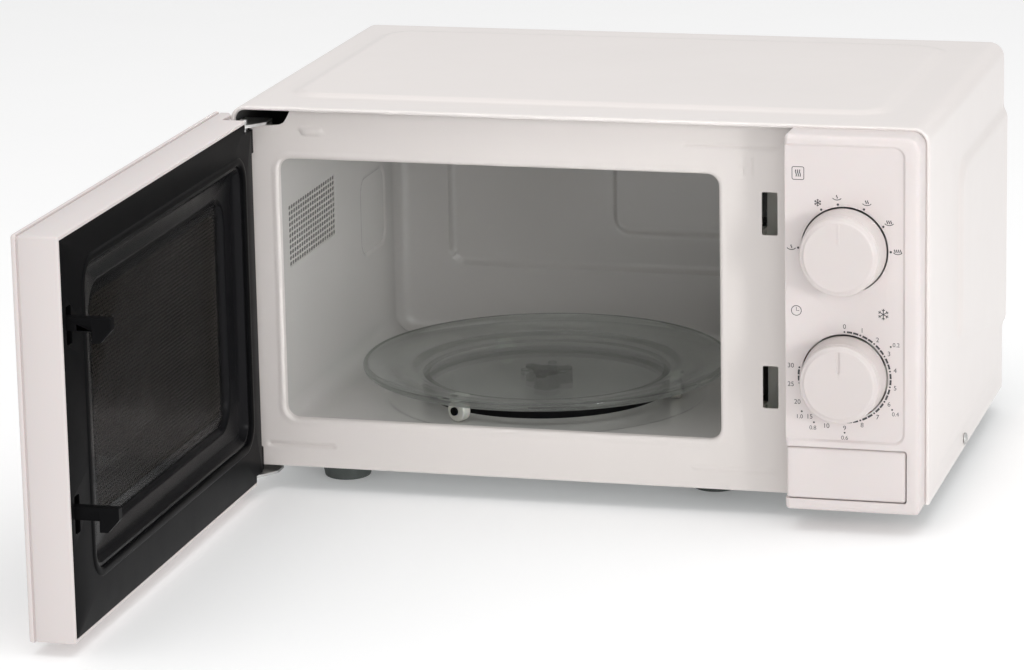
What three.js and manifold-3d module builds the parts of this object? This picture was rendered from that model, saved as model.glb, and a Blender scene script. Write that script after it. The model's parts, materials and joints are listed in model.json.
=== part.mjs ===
// A counter-top microwave oven with two dials, a push-button door latch and a turntable.
// Millimetres, +Z up. Pieces are drawn in the cabinet's own coordinates: x from the left side of
// the cover, y back from the face of the steel front plate, z up from the cabinet's bottom edge.
// The door is drawn shut, in the same coordinates, and stands open at a right angle.
import * as THREE from 'three';
import { mergeVertices } from 'three/addons/utils/BufferGeometryUtils.js';
import Module from 'manifold-3d';

// Driving dimensions of the cabinet
const WIDTH = 451.5;
const COVER_TOP = 239.8;
const COVER_FRONT = -8.5;
const COVER_BACK = 287.5;
const CORNER = 10;
const SHEET = 0.8;
const GAP = 0.35;
const FOOT_HEIGHT = 16;
const SIDE_PRESS = 2.6;
const INLET_LENGTH = 5.4;

// Front plate and cooking chamber
const OPENING = { x0: 28.6, x1: 317, z0: 32.5, z1: 204.5, r: 8 };
const CHAMBER = { x0: 24.5, x1: 321, y1: 276, z0: 22, z1: 211, r: 9 };
const PLATE_RIGHT = 357;
const SLOT = { x0: 344.3, x1: 354.4, upper: 166.8, lower: 55, height: 27.6 };

// Control panel
const PANEL = { x0: 364.4, x1: 449.1, z0: -1.5, z1: 237.8, front: -29.6, back: -0.4, wall: 2.4 };
const DIAL_X = 402;
const POWER_Z = 166;
const TIMER_Z = 85.3;
const BUTTON = { x0: 365.4, x1: 440.6, z0: 6.2, z1: 39.2 };
const LEVER = { y: -8, z: 50 };

// Door, drawn shut
const DOOR = { x0: 0, x1: 361.4, z0: -8.5, z1: 234, front: -30, back: -1.6, wall: 2.4 };
const HINGE = { x: 9, y: -7.5 };
const WINDOW = { x0: 44, x1: 324, z0: 32, z1: 206 };
const SIGHT = { x0: 62, x1: 286, z0: 50, z1: 180 };
const LATCH = { x: 349.2, upper: 177, lower: 65 };

// Fan, behind the electrics
const FAN = { x: 394, z: 152, radius: 46 };

// Turntable
const AXIS = { x: 170, y: 129 };
const PLATE_RADIUS = 122.5;
const ROLLER_RADIUS = 7.2;
const ROLLER_TURN = 3.4 * (Math.PI / 180);

const wasm = await Module();
wasm.setup();

// Solids ------------------------------------------------------------------------------------

function toSolid(geometry) {
  const bare = geometry.clone();
  bare.deleteAttribute('normal');
  bare.deleteAttribute('uv');
  const merged = mergeVertices(bare, 1e-4);
  const vertProperties = new Float32Array(merged.attributes.position.array);
  const triVerts = new Uint32Array(merged.index.array);
  return new wasm.Manifold(new wasm.Mesh({ numProp: 3, vertProperties, triVerts }));
}

function toGeometry(solid) {
  const mesh = solid.getMesh();
  const geometry = new THREE.BufferGeometry();
  geometry.setAttribute('position', new THREE.BufferAttribute(mesh.vertProperties, 3));
  geometry.setIndex(new THREE.BufferAttribute(mesh.triVerts, 1));
  geometry.computeVertexNormals();
  return geometry;
}

function join(first, ...others) {
  return others.reduce((sum, solid) => sum.add(solid), first);
}

function cut(first, ...tools) {
  return tools.reduce((rest, tool) => rest.subtract(tool), first);
}

function block(x0, x1, y0, y1, z0, z1) {
  const geometry = new THREE.BoxGeometry(x1 - x0, y1 - y0, z1 - z0);
  geometry.translate((x0 + x1) / 2, (y0 + y1) / 2, (z0 + z1) / 2);
  return toSolid(geometry);
}

// Turns a geometry made along z so that its axis lies along x, y or z.
function aim(geometry, axis) {
  const [x, y, z] = [new THREE.Vector3(1, 0, 0), new THREE.Vector3(0, 1, 0), new THREE.Vector3(0, 0, 1)];
  const bases = { x: [y, z, x], y: [x, z, y.clone().negate()], z: [x, y, z] };
  return geometry.applyMatrix4(new THREE.Matrix4().makeBasis(...bases[axis]));
}

// A round bar about an axis, from one station to another; a second radius makes it a cone.
function rod(axis, centre, from, to, radius, endRadius = radius, sides = 24) {
  const geometry = new THREE.CylinderGeometry(endRadius, radius, to - from, sides);
  geometry.rotateX(Math.PI / 2);
  if (axis === 'y') geometry.rotateX(Math.PI);
  geometry.translate(0, 0, (axis === 'y' ? -1 : 1) * (from + to) / 2);
  aim(geometry, axis);
  const [a, b] = centre;
  const offsets = { x: [0, a, b], y: [a, 0, b], z: [a, b, 0] };
  geometry.translate(...offsets[axis]);
  return toSolid(geometry);
}

function roundedRect(x0, x1, y0, y1, r, corner = r) {
  const shape = new THREE.Shape();
  shape.moveTo(x0 + r, y0);
  shape.lineTo(x1 - r, y0);
  shape.absarc(x1 - r, y0 + r, r, -Math.PI / 2, 0, false);
  shape.lineTo(x1, y1 - corner);
  shape.absarc(x1 - corner, y1 - corner, corner, 0, Math.PI / 2, false);
  shape.lineTo(x0 + r, y1);
  shape.absarc(x0 + r, y1 - r, r, Math.PI / 2, Math.PI, false);
  shape.lineTo(x0, y0 + r);
  shape.absarc(x0 + r, y0 + r, r, Math.PI, 1.5 * Math.PI, false);
  return shape;
}

function polygon(points) {
  return new THREE.Shape(points.map(([x, y]) => new THREE.Vector2(x, y)));
}

// An outline carried along an axis: x takes (y, z) outlines, y takes (x, z), z takes (x, y).
function slab(axis, shape, from, to, curveSegments = 3, bevel = {}) {
  const settings = { depth: to - from, bevelEnabled: false, curveSegments, ...bevel };
  const geometry = new THREE.ExtrudeGeometry(shape, settings);
  geometry.translate(0, 0, axis === 'y' ? -to : from);
  return toSolid(aim(geometry, axis));
}

// Rounded front and back edges for a slab.
function softEdge(r) {
  return { bevelEnabled: true, bevelThickness: r, bevelSize: r, bevelOffset: -r, bevelSegments: 2 };
}

// A raised field whose sides slope in towards its face.
function raised(axis, shape, from, height, slope) {
  const bevel = { bevelEnabled: true, bevelThickness: height, bevelSize: slope, bevelOffset: -slope };
  return slab(axis, shape, from, from + 0.01, 3, { ...bevel, bevelSegments: 1 });
}

function lathe(profile, segments = 48) {
  const points = profile.map(([r, z]) => new THREE.Vector2(r, z));
  const geometry = new THREE.LatheGeometry(points, segments);
  geometry.rotateX(Math.PI / 2);
  return toSolid(geometry);
}

// Finishes ----------------------------------------------------------------------------------

function finish(color, roughness, metalness = 0) {
  return () => new THREE.MeshStandardMaterial({ color, roughness, metalness });
}

const whitePaint = finish(0xe9e5e1, 0.35);
const flangePaint = finish(0xdcd8d3, 0.4);
const chamberPaint = finish(0xc9c7c2, 0.35);
const whitePlastic = finish(0xe7e2de, 0.4);
const blackPlastic = finish(0x17171a, 0.3);
const blackEnamel = finish(0x0d0d10, 0.15);
const darkRubber = finish(0x2d312f, 0.7);
const steel = finish(0xb4b4b2, 0.35, 0.9);
const zinc = finish(0x9d9f9c, 0.45, 0.85);
const clearGlass = finish(0xcdd6d2, 0.05);
const tintedGlass = finish(0x15171a, 0.08);
const mica = finish(0xb9a98c, 0.6);
const copper = finish(0xa8602f, 0.4, 0.8);
const whiteNylon = finish(0xe2e0d8, 0.5);
const brownBoard = finish(0x8a6a3a, 0.6);

const oven = new THREE.Group();
const cabinet = new THREE.Group();
const door = new THREE.Group();
const doorPieces = new THREE.Group();

function place(name, solid, material, parent = cabinet) {
  const mesh = new THREE.Mesh(toGeometry(solid), material());
  mesh.name = name;
  parent.add(mesh);
}

// Cabinet shell -------------------------------------------------------------------------------

function coverOutline(inset) {
  const r = CORNER - inset;
  const left = inset;
  const right = WIDTH - inset;
  const top = COVER_TOP - inset;
  const shape = new THREE.Shape();
  shape.moveTo(left, inset ? -1 : 0);
  shape.lineTo(right, inset ? -1 : 0);
  shape.lineTo(right, top - r);
  shape.absarc(right - r, top - r, r, 0, Math.PI / 2, false);
  shape.lineTo(left + r, top);
  shape.absarc(left + r, top - r, r, Math.PI / 2, Math.PI, false);
  return shape;
}

function outerCover() {
  const hemDepth = 4;
  const hem = 0.8;
  const topHeight = 2;
  const topField = roundedRect(26, 418, 26, 262, 22);
  const sideField = polygon([[98, 79], [COVER_BACK - 4, 44], [COVER_BACK - 4, 197], [112, 197], [98, 184]]);
  const outside = slab('y', coverOutline(0), COVER_FRONT, COVER_BACK);
  const inside = slab('y', coverOutline(SHEET), COVER_FRONT + hemDepth, COVER_BACK + 1);
  const mouth = slab('y', coverOutline(SHEET + hem), COVER_FRONT - 1, COVER_FRONT + hemDepth + 1);
  const topPress = raised('z', topField, COVER_TOP, topHeight, 4);
  const topPocket = topPress.translate(0, 0, -SHEET);
  const sidePress = raised('x', sideField, WIDTH, SIDE_PRESS, 4);
  const sidePocket = sidePress.translate(-SHEET, 0, 0);
  const shell = cut(join(outside, topPress, sidePress), inside, mouth, topPocket, sidePocket);
  const screwHoles = rod('x', [128, 6], -1, WIDTH + 1, 2.3, 2.3, 16);
  return cut(shell, screwHoles);
}

function hingeRecess(x1, z0) {
  const shape = new THREE.Shape();
  shape.moveTo(-1, COVER_TOP);
  shape.lineTo(-1, z0);
  shape.lineTo(x1 - 16, z0);
  shape.quadraticCurveTo(x1 - 7, z0 + 1, x1 - 4, z0 + 5);
  shape.lineTo(x1, COVER_TOP);
  return shape;
}

function frontPlate() {
  const left = SHEET + GAP;
  const top = COVER_TOP - SHEET - GAP;
  const outline = roundedRect(left, PLATE_RIGHT, 0, top, 4);
  const opening = roundedRect(OPENING.x0, OPENING.x1, OPENING.z0, OPENING.z1, OPENING.r);
  const liningHole = roundedRect(OPENING.x0 - SHEET, OPENING.x1 + SHEET, OPENING.z0 - SHEET,
    OPENING.z1 + SHEET, OPENING.r + SHEET);
  const collar = slab('y', liningHole, 0, 5);
  const turnedEdge = block(PLATE_RIGHT - SHEET, PLATE_RIGHT, 0, 9, 1.6, top);
  const slots = [SLOT.lower, SLOT.upper].map((z) => block(SLOT.x0, SLOT.x1, -1, 2, z, z + SLOT.height));
  const plate = join(slab('y', outline, 0, SHEET), collar, turnedEdge);
  const recess = slab('y', hingeRecess(39, 226), -1, 3);
  return cut(plate, slab('y', opening, -1, 6), recess, ...slots);
}

function chamberBox(grow, y0, y1) {
  const { x0, x1, z0, z1, r } = CHAMBER;
  return slab('y', roundedRect(x0 - grow, x1 + grow, z0 - grow, z1 + grow, r + grow), y0, y1);
}

function chamberLiner() {
  const front = SHEET + GAP;
  const shaftHole = rod('z', [AXIS.x, AXIS.y], CHAMBER.z0 - 3, CHAMBER.z0 + 1, 8);
  const shell = cut(chamberBox(SHEET, front, CHAMBER.y1 + SHEET), chamberBox(0, front + SHEET, CHAMBER.y1));
  const frontHole = roundedRect(OPENING.x0 - 1.4, OPENING.x1 + 1.4, OPENING.z0 - 1.4,
    OPENING.z1 + 1.4, OPENING.r + 1.4);
  const feed = block(CHAMBER.x1 - 2, CHAMBER.x1 + 2, 124, 196, 92, 128);
  return cut(shell, slab('y', frontHole, 0, 4), shaftHole, feed);
}

function basePlate() {
  const left = SHEET + GAP;
  const right = WIDTH - SHEET - GAP;
  const front = SHEET + GAP;
  const back = COVER_BACK - 2;
  const floor = block(left, right, front, back, 0.2, 1.2);
  const leftWall = block(left, left + 1, front, back, 0.2, 12);
  const rightWall = block(right - 1, right, front, back, 0.2, 12);
  const motorWindow = rod('z', [AXIS.x, AXIS.y], 0, 2, 30, 30, 32);
  const screwHoles = rod('x', [128, 6], 0, WIDTH, 2.3, 2.3, 16);
  const footHoles = footPlaces().map(([x, y]) => rod('z', [x, y], -1, 3, 5.2, 5.2, 16));
  const hingeSlot = block(0, 24, 0, 16, -1, 14);
  const slots = [];
  for (let row = 0; row < 7; row += 1) {
    slots.push(block(362 + 9 * row, 366 + 9 * row, 90, 130, -1, 3));
  }
  return cut(join(floor, leftWall, rightWall), motorWindow, screwHoles, hingeSlot, ...footHoles, ...slots);
}

function rearPlate() {
  const left = SHEET + GAP;
  const y0 = COVER_BACK - 1.6;
  const outline = new THREE.Shape();
  const inset = SHEET + GAP;
  const r = CORNER - inset;
  outline.moveTo(left, 0.2);
  outline.lineTo(WIDTH - inset, 0.2);
  outline.lineTo(WIDTH - inset, COVER_TOP - inset - r);
  outline.absarc(WIDTH - inset - r, COVER_TOP - inset - r, r, 0, Math.PI / 2, false);
  outline.lineTo(left + r, COVER_TOP - inset);
  outline.absarc(left + r, COVER_TOP - inset - r, r, Math.PI / 2, Math.PI, false);
  const vents = [];
  for (let row = 0; row < 8; row += 1) {
    for (let side = 0; side < 2; side += 1) {
      const x = 352 + 44 * side;
      vents.push(block(x, x + 38, y0 - 1, y0 + 3, 112 + 10 * row, 116 + 10 * row));
    }
  }
  for (let row = 0; row < 9; row += 1) {
    vents.push(block(60 + 12 * row, 65 + 12 * row, y0 - 1, y0 + 3, 180, 206));
  }
  const cordHole = rod('y', [428, 42], y0 - 1, y0 + 3, 8.4);
  const screwHoles = rearScrewPlaces().map((centre) => rod('y', centre, y0 - 1, y0 + 3, 2.3, 2.3, 16));
  return cut(slab('y', outline, y0, y0 + 1), cordHole, ...vents, ...screwHoles);
}

function footPlaces() {
  return [[56, 43], [300, 62], [56, 248], [400, 248]];
}

function rearScrewPlaces() {
  return [[14, 120], [438, 226], [230, 232]];
}

function foot(x, y) {
  const pad = rod('z', [x, y], -FOOT_HEIGHT, -GAP, 15, 18, 32);
  const stem = rod('z', [x, y], -1, 1.2 + GAP, 4.8, 4.8, 16);
  const clip = rod('z', [x, y], 1.2 + GAP, 4, 6.6, 4, 16);
  return join(pad, stem, clip);
}

function screw(axis, centre, headFrom, headTo, tipTo) {
  const inward = tipTo > headTo;
  const root = inward ? headTo - 0.1 : headFrom + 0.1;
  const head = rod(axis, centre, headFrom, headTo, 4, 4, 16);
  const shank = rod(axis, centre, Math.min(root, tipTo), Math.max(root, tipTo), 1.9, 1.9, 12);
  return join(head, shank);
}

// Controls ------------------------------------------------------------------------------------

function controlPanel() {
  const { x0, x1, z0, z1, front, back, wall } = PANEL;
  const body = slab('y', roundedRect(x0, x1, z0, z1, 3, 9), front + 2, back - 2, 2, softEdge(2));
  const hollow = block(x0 + wall, x1 - wall, front + wall, 2, z0 + wall, z1 - wall);
  const face = slab('y', roundedRect(x0 - 3, 439.4, 44, 231.5, 3), front - 1, front + 0.4);
  const dialHoles = [POWER_Z, TIMER_Z].map((z) => rod('y', [DIAL_X, z], front - 1, front + 4, 27.4, 27.4, 40));
  const buttonHole = block(BUTTON.x0 - 0.6, BUTTON.x1 + 0.6, front - 1, front + 4, BUTTON.z0 - 0.6,
    BUTTON.z1 + 0.6);
  const buttonSide = block(x0 - 1, x0 + wall + 0.5, front - 1, front + 18, BUTTON.z0 - 0.6, BUTTON.z1 + 0.6);
  return cut(body, hollow, face, ...dialHoles, buttonHole, buttonSide);
}

function dialKnob(z, rib) {
  const front = PANEL.front;
  const face = front - 19.4;
  const base = front + 0.9;
  const skirt = rod('y', [DIAL_X, z], face + 2.4, base - 6, 24.8, 26, 40);
  const brow = rod('y', [DIAL_X, z], face, face + 2.4, 23, 24.8, 40);
  const flare = rod('y', [DIAL_X, z], base - 6, base - 0.3, 26, 26.6, 40);
  const hollow = rod('y', [DIAL_X, z], base - 13, base + 1, 23, 23.6, 32);
  const hub = rod('y', [DIAL_X, z], face + 1, base - 0.3, 6, 6, 20);
  const shaftBore = rod('y', [DIAL_X, z], face + 5, base + 1, 3 + GAP, 3 + GAP, 20);
  const grip = rib ? [block(DIAL_X - 1.2, DIAL_X + 1.2, face - 0.6, face + 0.4, z + 6, z + 21)] : [];
  const notch = block(DIAL_X - 0.8, DIAL_X + 0.8, face - 1, face + 0.6, z + 13, z + 22);
  const pointer = rib ? [] : [notch];
  const cup = join(cut(join(skirt, brow, flare), hollow), hub, ...grip);
  return cut(cup, shaftBore, ...pointer);
}

function dialShaft(z) {
  const front = PANEL.front;
  const round = rod('y', [DIAL_X, z], front - 13.6, -12, 3, 3, 20);
  const flat = block(DIAL_X - 4, DIAL_X + 4, front - 14, front - 3, z + 2, z + 4);
  return cut(round, flat);
}

function dialUnit(z, halfWidth, halfHeight, back) {
  const front = -26;
  const left = DIAL_X - halfWidth;
  const right = DIAL_X + halfWidth;
  const body = block(left, right, front + 2, back, z - halfHeight, z + halfHeight);
  const ears = block(left - 7, right + 7, front, front + 2.2, z - 8, z + 8);
  const bore = rod('y', [DIAL_X, z], front - 1, -11, 3 + GAP, 3 + GAP, 20);
  const tabFoot = z - halfHeight + 4;
  const tab = (x) => block(x - 3, x + 3, back - 1, back + 8, tabFoot, tabFoot + 1);
  const tabs = [-12, 0, 12].map((dx) => tab(DIAL_X + dx));
  return cut(join(body, ears, ...tabs), bore);
}

function doorButton() {
  const { x0, x1, z0, z1 } = BUTTON;
  const face = PANEL.front + 0.3;
  const cap = slab('y', roundedRect(x0, x1, z0, z1, 1.5), face + 1, face + 11, 2, softEdge(1));
  const hollow = block(x0 + 2.4, x1 - 2.4, face + 2.6, face + 14, z0 + 2.4, z1 - 2.4);
  const plunger = block(x0 + 6, x0 + 12, face + 2, face + 19, 26, 30);
  const springPost = rod('y', [DIAL_X, 22], face + 2, face + 8, 2.4, 2.4, 16);
  return join(cut(cap, hollow), plunger, springPost);
}

// A wire coil about an axis, as one swept section.
function coil(axis, centre, from, to, radius, turns, wire) {
  const steps = turns * 8;
  const points = [];
  for (let i = 0; i <= steps; i += 1) {
    const angle = (2 * Math.PI * i) / 8;
    const along = from + ((to - from) * i) / steps;
    points.push(new THREE.Vector3(radius * Math.cos(angle), radius * Math.sin(angle), along));
  }
  const section = new THREE.Shape();
  section.absarc(0, 0, wire, 0, 2 * Math.PI, false);
  const extrudePath = new THREE.CatmullRomCurve3(points);
  const geometry = new THREE.ExtrudeGeometry(section, { steps, curveSegments: 3, extrudePath });
  const [a, b] = centre;
  if (axis === 'y') {
    geometry.rotateX(-Math.PI / 2);
    geometry.translate(a, 0, b);
  } else {
    geometry.translate(a, b, 0);
  }
  return toSolid(geometry);
}

function buttonSpring() {
  return coil('y', [DIAL_X, 22], PANEL.front + 3.9, -9.9, 4.2, 6, 0.6);
}

// The moulded board behind the front plate that the two door hooks enter.
function latchBoard() {
  const y0 = SHEET + GAP;
  const body = block(336, 361.5, y0, 30, 22, 206);
  const upperWay = block(341.5, 357, y0 - 1, 28, 160, 202);
  const lowerWay = block(341.5, 357, y0 - 1, 28, 40, 90);
  const middle = block(338, 359.5, y0 + 2, 31, 94, 156);
  const leg = block(357.4, 364, 2, 12, 8, 60);
  const shelf = block(361.4, 419, 2, 4.5, 8, 24);
  const springSeat = rod('y', [DIAL_X, 22], -8.9, 2.1, 5.6, 5.6, 24);
  const leverArm = block(361.4, 368.8, 2, 12, 44, 56);
  const leverEar = block(366.8, 368.8, -12, 12, 44, 56);
  const leverPin = rod('x', [LEVER.y, LEVER.z], 368.7, 381, 1.5, 1.5, 16);
  const turnedEdge = block(PLATE_RIGHT - SHEET - GAP, PLATE_RIGHT + GAP, -1, 9 + GAP, -1, 210);
  const seat = ([y, z]) => block(335, 342, y - GAP, y + 24, z - GAP, z + 28 + GAP);
  const switchSeats = switchPlaces().map(seat);
  const board = join(body, leg, shelf, springSeat, leverArm, leverEar, leverPin);
  return cut(board, turnedEdge, upperWay, lowerWay, middle, ...switchSeats);
}

function switchPlaces() {
  return [[11, 166], [11, 52], [11, 110]];
}

function doorSwitch(y, z) {
  const body = block(325.5, 335.6, y, y + 16, z, z + 28);
  const lever = block(335.4, 337.4, y + 6, y + 10, z + 12, z + 26);
  const terminals = [3, 12, 22].map((dz) => block(329, 332, y + 15.9, y + 22, z + dz, z + dz + 1));
  return join(body, lever, ...terminals);
}

function releaseLever() {
  const { y, z } = LEVER;
  const arm = block(370, 374, y - 1.6, y + 1.6, z - 28, z + 28);
  const pad = block(369.2, 380, y - 1.6, y, z - 28, z - 14);
  const tongue = block(369.2, 380, y - 1.6, y, z + 14, z + 28);
  const hub = rod('x', [y, z], 369.2, 380, 3.6, 3.6, 20);
  const bore = rod('x', [y, z], 368, 381, 1.5 + GAP, 1.5 + GAP, 16);
  return cut(join(arm, pad, tongue, hub), bore);
}

// Door hardware on the cabinet ------------------------------------------------------------------

function hingePlate(z0, z1, pinFrom, pinTo) {
  const { x, y } = HINGE;
  const outline = polygon([[3.6, 12], [22, 12], [22, -1], [x + 6, y - 4], [x + 3, y - 7], [x - 3, y - 7],
    [x - 6, y - 4], [3.6, -1.5]]);
  const plate = slab('z', outline, z0, z1);
  return join(plate, rod('z', [x, y], pinFrom, pinTo, 2.4, 2.4, 20));
}

function upperHinge() {
  const strap = block(3.6, 22, 9.8, 12, 206, 228.4);
  return join(hingePlate(226.6, 228.4, 216, 231), strap);
}

function lowerHinge() {
  const strap = block(3.6, 22, 9.8, 12, -4.9, 26);
  return join(hingePlate(-4.9, -3.1, -3.2, 8), strap);
}

// Electrics -------------------------------------------------------------------------------------

function waveguide() {
  const x0 = CHAMBER.x1 + SHEET + GAP;
  const outside = block(x0, x0 + 20, 112, 212, 86, 196);
  const inside = block(x0 + 1, x0 + 19, 113, 211, 87, 195);
  const feed = block(x0 - 1, x0 + 2, 124, 196, 92, 128);
  const antenna = rod('x', [172, 160], x0 + 18, x0 + 21, 11);
  return cut(outside, inside, feed, antenna);
}

function waveguideCover() {
  return slab('x', roundedRect(112, 208, 82, 138, 3), CHAMBER.x1 - 0.35 - 0.5, CHAMBER.x1 - 0.35, 2);
}

function magnetron() {
  const x0 = CHAMBER.x1 + SHEET + GAP + 20 + GAP;
  const centre = [172, 160];
  const yokeHole = block(x0 + 1.6, x0 + 56.4, 129, 215, 130, 190);
  const yoke = cut(block(x0, x0 + 58, 130, 214, 128, 192), yokeHole);
  const fins = [];
  for (let i = 0; i < 5; i += 1) {
    const x = x0 + 16 + 6.4 * i;
    fins.push(block(x, x + 0.9, 136, 208, 129, 191));
  }
  const anode = rod('x', centre, x0 + 1, x0 + 57, 17, 17, 20);
  const magnets = [x0 + 1, x0 + 47].map((x) => rod('x', centre, x, x + 10, 25, 25, 20));
  const antenna = rod('x', centre, x0 - 12, x0 + 2, 7.5, 7.5, 20);
  const filterBox = block(x0 + 57.5, x0 + 78, 150, 194, 136, 184);
  return join(yoke, ...fins, anode, ...magnets, antenna, filterBox);
}

function transformer() {
  const core = block(352, 436, 36, 106, 8, 74);
  const window = cut(core, block(366, 422, 30, 110, 20, 62));
  const limb = block(384, 404, 36, 106, 19, 63);
  const primaryHole = block(380, 408, 31, 69, 19, 63);
  const primary = cut(slab('y', roundedRect(368, 420, 22, 60, 5), 32, 68, 2), primaryHole);
  const winding = block(368, 420, 42, 69, 22, 60);
  const secondary = block(369, 419, 76, 112, 23, 59);
  const frame = block(348, 440, 48, 94, 1.6, 8.1);
  return join(window, limb, primary, winding, secondary, frame);
}

function capacitor() {
  const can = slab('z', roundedRect(338, 388, 222, 254, 15.9), 8, 92, 4);
  const terminals = [352, 374].map((x) => block(x - 3, x + 3, 237, 238, 91.9, 100));
  const strap = block(334, 392, 228, 248, 1.6, 8.1);
  return join(can, ...terminals, strap);
}

function rectifier() {
  const body = rod('x', [230, 108], 352, 372, 3.4, 3.4, 16);
  return join(body, rod('x', [230, 108], 340, 386, 0.7, 0.7, 8));
}

function fanDuct() {
  const { x, z, radius } = FAN;
  const plate = block(x - 52, x + 52, 262, COVER_BACK - 2, z - 52, z + 52);
  const hole = rod('y', [x, z], 261, COVER_BACK, radius + 2.4, radius + 2.4, 40);
  const level = block(x - 50, x + 50, 262, 264, z - 3, z + 3);
  const upright = block(x - 3, x + 3, 262, 264, z - 50, z + 50);
  const boss = rod('y', [x, z], 262, 264, 16, 16, 28);
  const shaftHole = rod('y', [x, z], 260, 266, 3.4, 3.4, 16);
  return cut(join(cut(plate, hole), boss, level, upright), shaftHole);
}

function fanMotor() {
  const { x, z } = FAN;
  const laminations = block(x - 26, x + 26, 238, 254, z - 36, z + 22);
  const coil = block(x - 15, x + 15, 234, 258, z - 34, z - 20);
  const bearing = rod('y', [x, z], 232, 261.6, 9, 9, 20);
  const posts = [-20, 20].map((dx) => rod('y', [x + dx, z], 253.9, 261.6, 2.6, 2.6, 12));
  return join(laminations, coil, bearing, ...posts);
}

function fanBlade() {
  const { x, z, radius } = FAN;
  const hub = rod('y', [x, z], 266, 280, 10, 10, 24);
  const stub = rod('y', [x, z], 262.1, 266.1, 2.6, 2.6, 12);
  const blades = [];
  for (let i = 0; i < 5; i += 1) {
    const blade = new THREE.BoxGeometry(radius - 10, 1.6, 22);
    blade.rotateX(0.5);
    blade.translate(radius / 2 + 3, 273, 0);
    blade.rotateY((2 * Math.PI * i) / 5);
    blade.translate(x, 0, z);
    blades.push(toSolid(blade));
  }
  return join(hub, stub, ...blades);
}

function turntableMotor() {
  const can = rod('z', [AXIS.x, AXIS.y], 3.2, 17.4, 24.5, 24.5, 36);
  const ears = block(AXIS.x - 34, AXIS.x + 34, AXIS.y - 5, AXIS.y + 5, 16.4, 17.6);
  const boss = rod('z', [AXIS.x, AXIS.y], 17.3, 20.6, 7, 7, 20);
  const bore = rod('z', [AXIS.x, AXIS.y], 12, 22, 3 + GAP, 3 + GAP, 16);
  return cut(join(can, ears, boss), bore);
}

function chamberLamp() {
  const socket = block(323, 347, 46, 70, 196, 214);
  const bulb = rod('z', [335, 58], 168, 196.1, 8, 8, 20);
  const tip = rod('z', [335, 58], 162, 168.1, 4, 8, 20);
  return join(socket, bulb, tip);
}

function filterBoard() {
  const top = FAN.z + 52 + GAP;
  const corners = [[352, 240], [436, 240], [352, 278], [436, 278]];
  const posts = corners.map((corner) => rod('z', corner, top, top + 4, 2.4, 2.4, 12));
  const board = block(346, 442, 234, 282, top + 3.9, top + 5.5);
  const choke = rod('z', [374, 258], top + 5.4, top + 18, 13, 13, 24);
  const relay = block(396, 416, 244, 264, top + 5.4, top + 19);
  const fuse = rod('y', [430, top + 8.3], 246, 272, 3, 3, 14);
  return join(board, choke, relay, fuse, ...posts);
}

function cordInlet() {
  const y0 = COVER_BACK - 1.6;
  const centre = [428, 42];
  const flange = rod('y', centre, y0 + 1 + GAP, COVER_BACK + INLET_LENGTH, 11, 9.5);
  const neck = rod('y', centre, y0 - 6, y0 + 1.5 + GAP, 8);
  const barb = rod('y', centre, y0 - 6, y0 - GAP, 10.6);
  return cut(join(flange, neck, barb), rod('y', centre, y0 - 8, y0 + 9, 3.6, 3.6, 20));
}

// Turntable -------------------------------------------------------------------------------------

function threefold(make, start = Math.PI / 6) {
  return [0, 1, 2].map((i) => make(start + (2 * Math.PI * i) / 3));
}

// A part made along +x from the turntable's axis, turned about it and moved there.
function spun(solid, angle) {
  return solid.rotate(0, 0, (angle * 180) / Math.PI).translate(AXIS.x, AXIS.y, 0);
}

function driveCoupler() {
  const shaft = rod('z', [AXIS.x, AXIS.y], 12.6, 25, 3, 3, 20);
  const hub = rod('z', [AXIS.x, AXIS.y], 22.6, 36.6, 9, 8, 24);
  const lobes = threefold((angle) => spun(block(4, 17, -3.2, 3.2, 25, 36), angle));
  return join(shaft, hub, ...lobes);
}

function glassPlate() {
  const under = CHAMBER.z0 + 2 * ROLLER_RADIUS + 2 * GAP;
  const r = PLATE_RADIUS;
  const bottom = [[0, 0], [95, 0], [110, 2.4], [r - 1.6, 5.2], [r, 6.8]];
  const top = [[r, 9.6], [r - 1.4, 10.8], [r - 3.2, 10], [108, 6.4], [90, 5.8], [84.5, 4], [0, 4]];
  const profile = [...bottom, ...top].map(([x, z]) => [x, z + under]);
  const dish = lathe(profile, 48).translate(AXIS.x, AXIS.y, 0);
  const lug = rod('z', [15, 0], under - 4, under + 1, 3, 3, 16);
  const lugs = threefold((angle) => spun(lug, angle + Math.PI / 3));
  return join(dish, ...lugs);
}

function rollerHeight() {
  return CHAMBER.z0 + ROLLER_RADIUS + GAP;
}

function rollerRing() {
  const z = rollerHeight();
  const ring = lathe([[78.5, z - 2.4], [83, z - 2.4], [83, z + 2.4], [78.5, z + 2.4], [78.5, z - 2.4]], 36);
  const axle = join(rod('x', [0, z], 81, 93, 1.6, 1.6, 14), rod('x', [0, z], 91.4, 93.4, 2.8, 2.8, 14));
  const axles = threefold((angle) => spun(axle, angle), ROLLER_TURN);
  return join(ring.translate(AXIS.x, AXIS.y, 0), ...axles);
}

function roller(angle) {
  const z = rollerHeight();
  const wheel = rod('x', [0, z], 84, 91, ROLLER_RADIUS, ROLLER_RADIUS, 28);
  const bore = rod('x', [0, z], 80, 94, 1.6 + GAP, 1.6 + GAP, 14);
  return spun(cut(wheel, bore), angle);
}

// Door ------------------------------------------------------------------------------------------

// The low and high corners at the hinge end that are left out for the hinge plates.
function hingeCorners(y0, y1, reach = 0) {
  const x1 = 25 + reach;
  const low = block(DOOR.x0 - 2, x1, y0, y1, DOOR.z0 - 2, -1.6 + reach);
  const high = block(DOOR.x0 - 2, x1, y0, y1, 225 - reach, DOOR.z1 + 2);
  return join(low, high);
}

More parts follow.
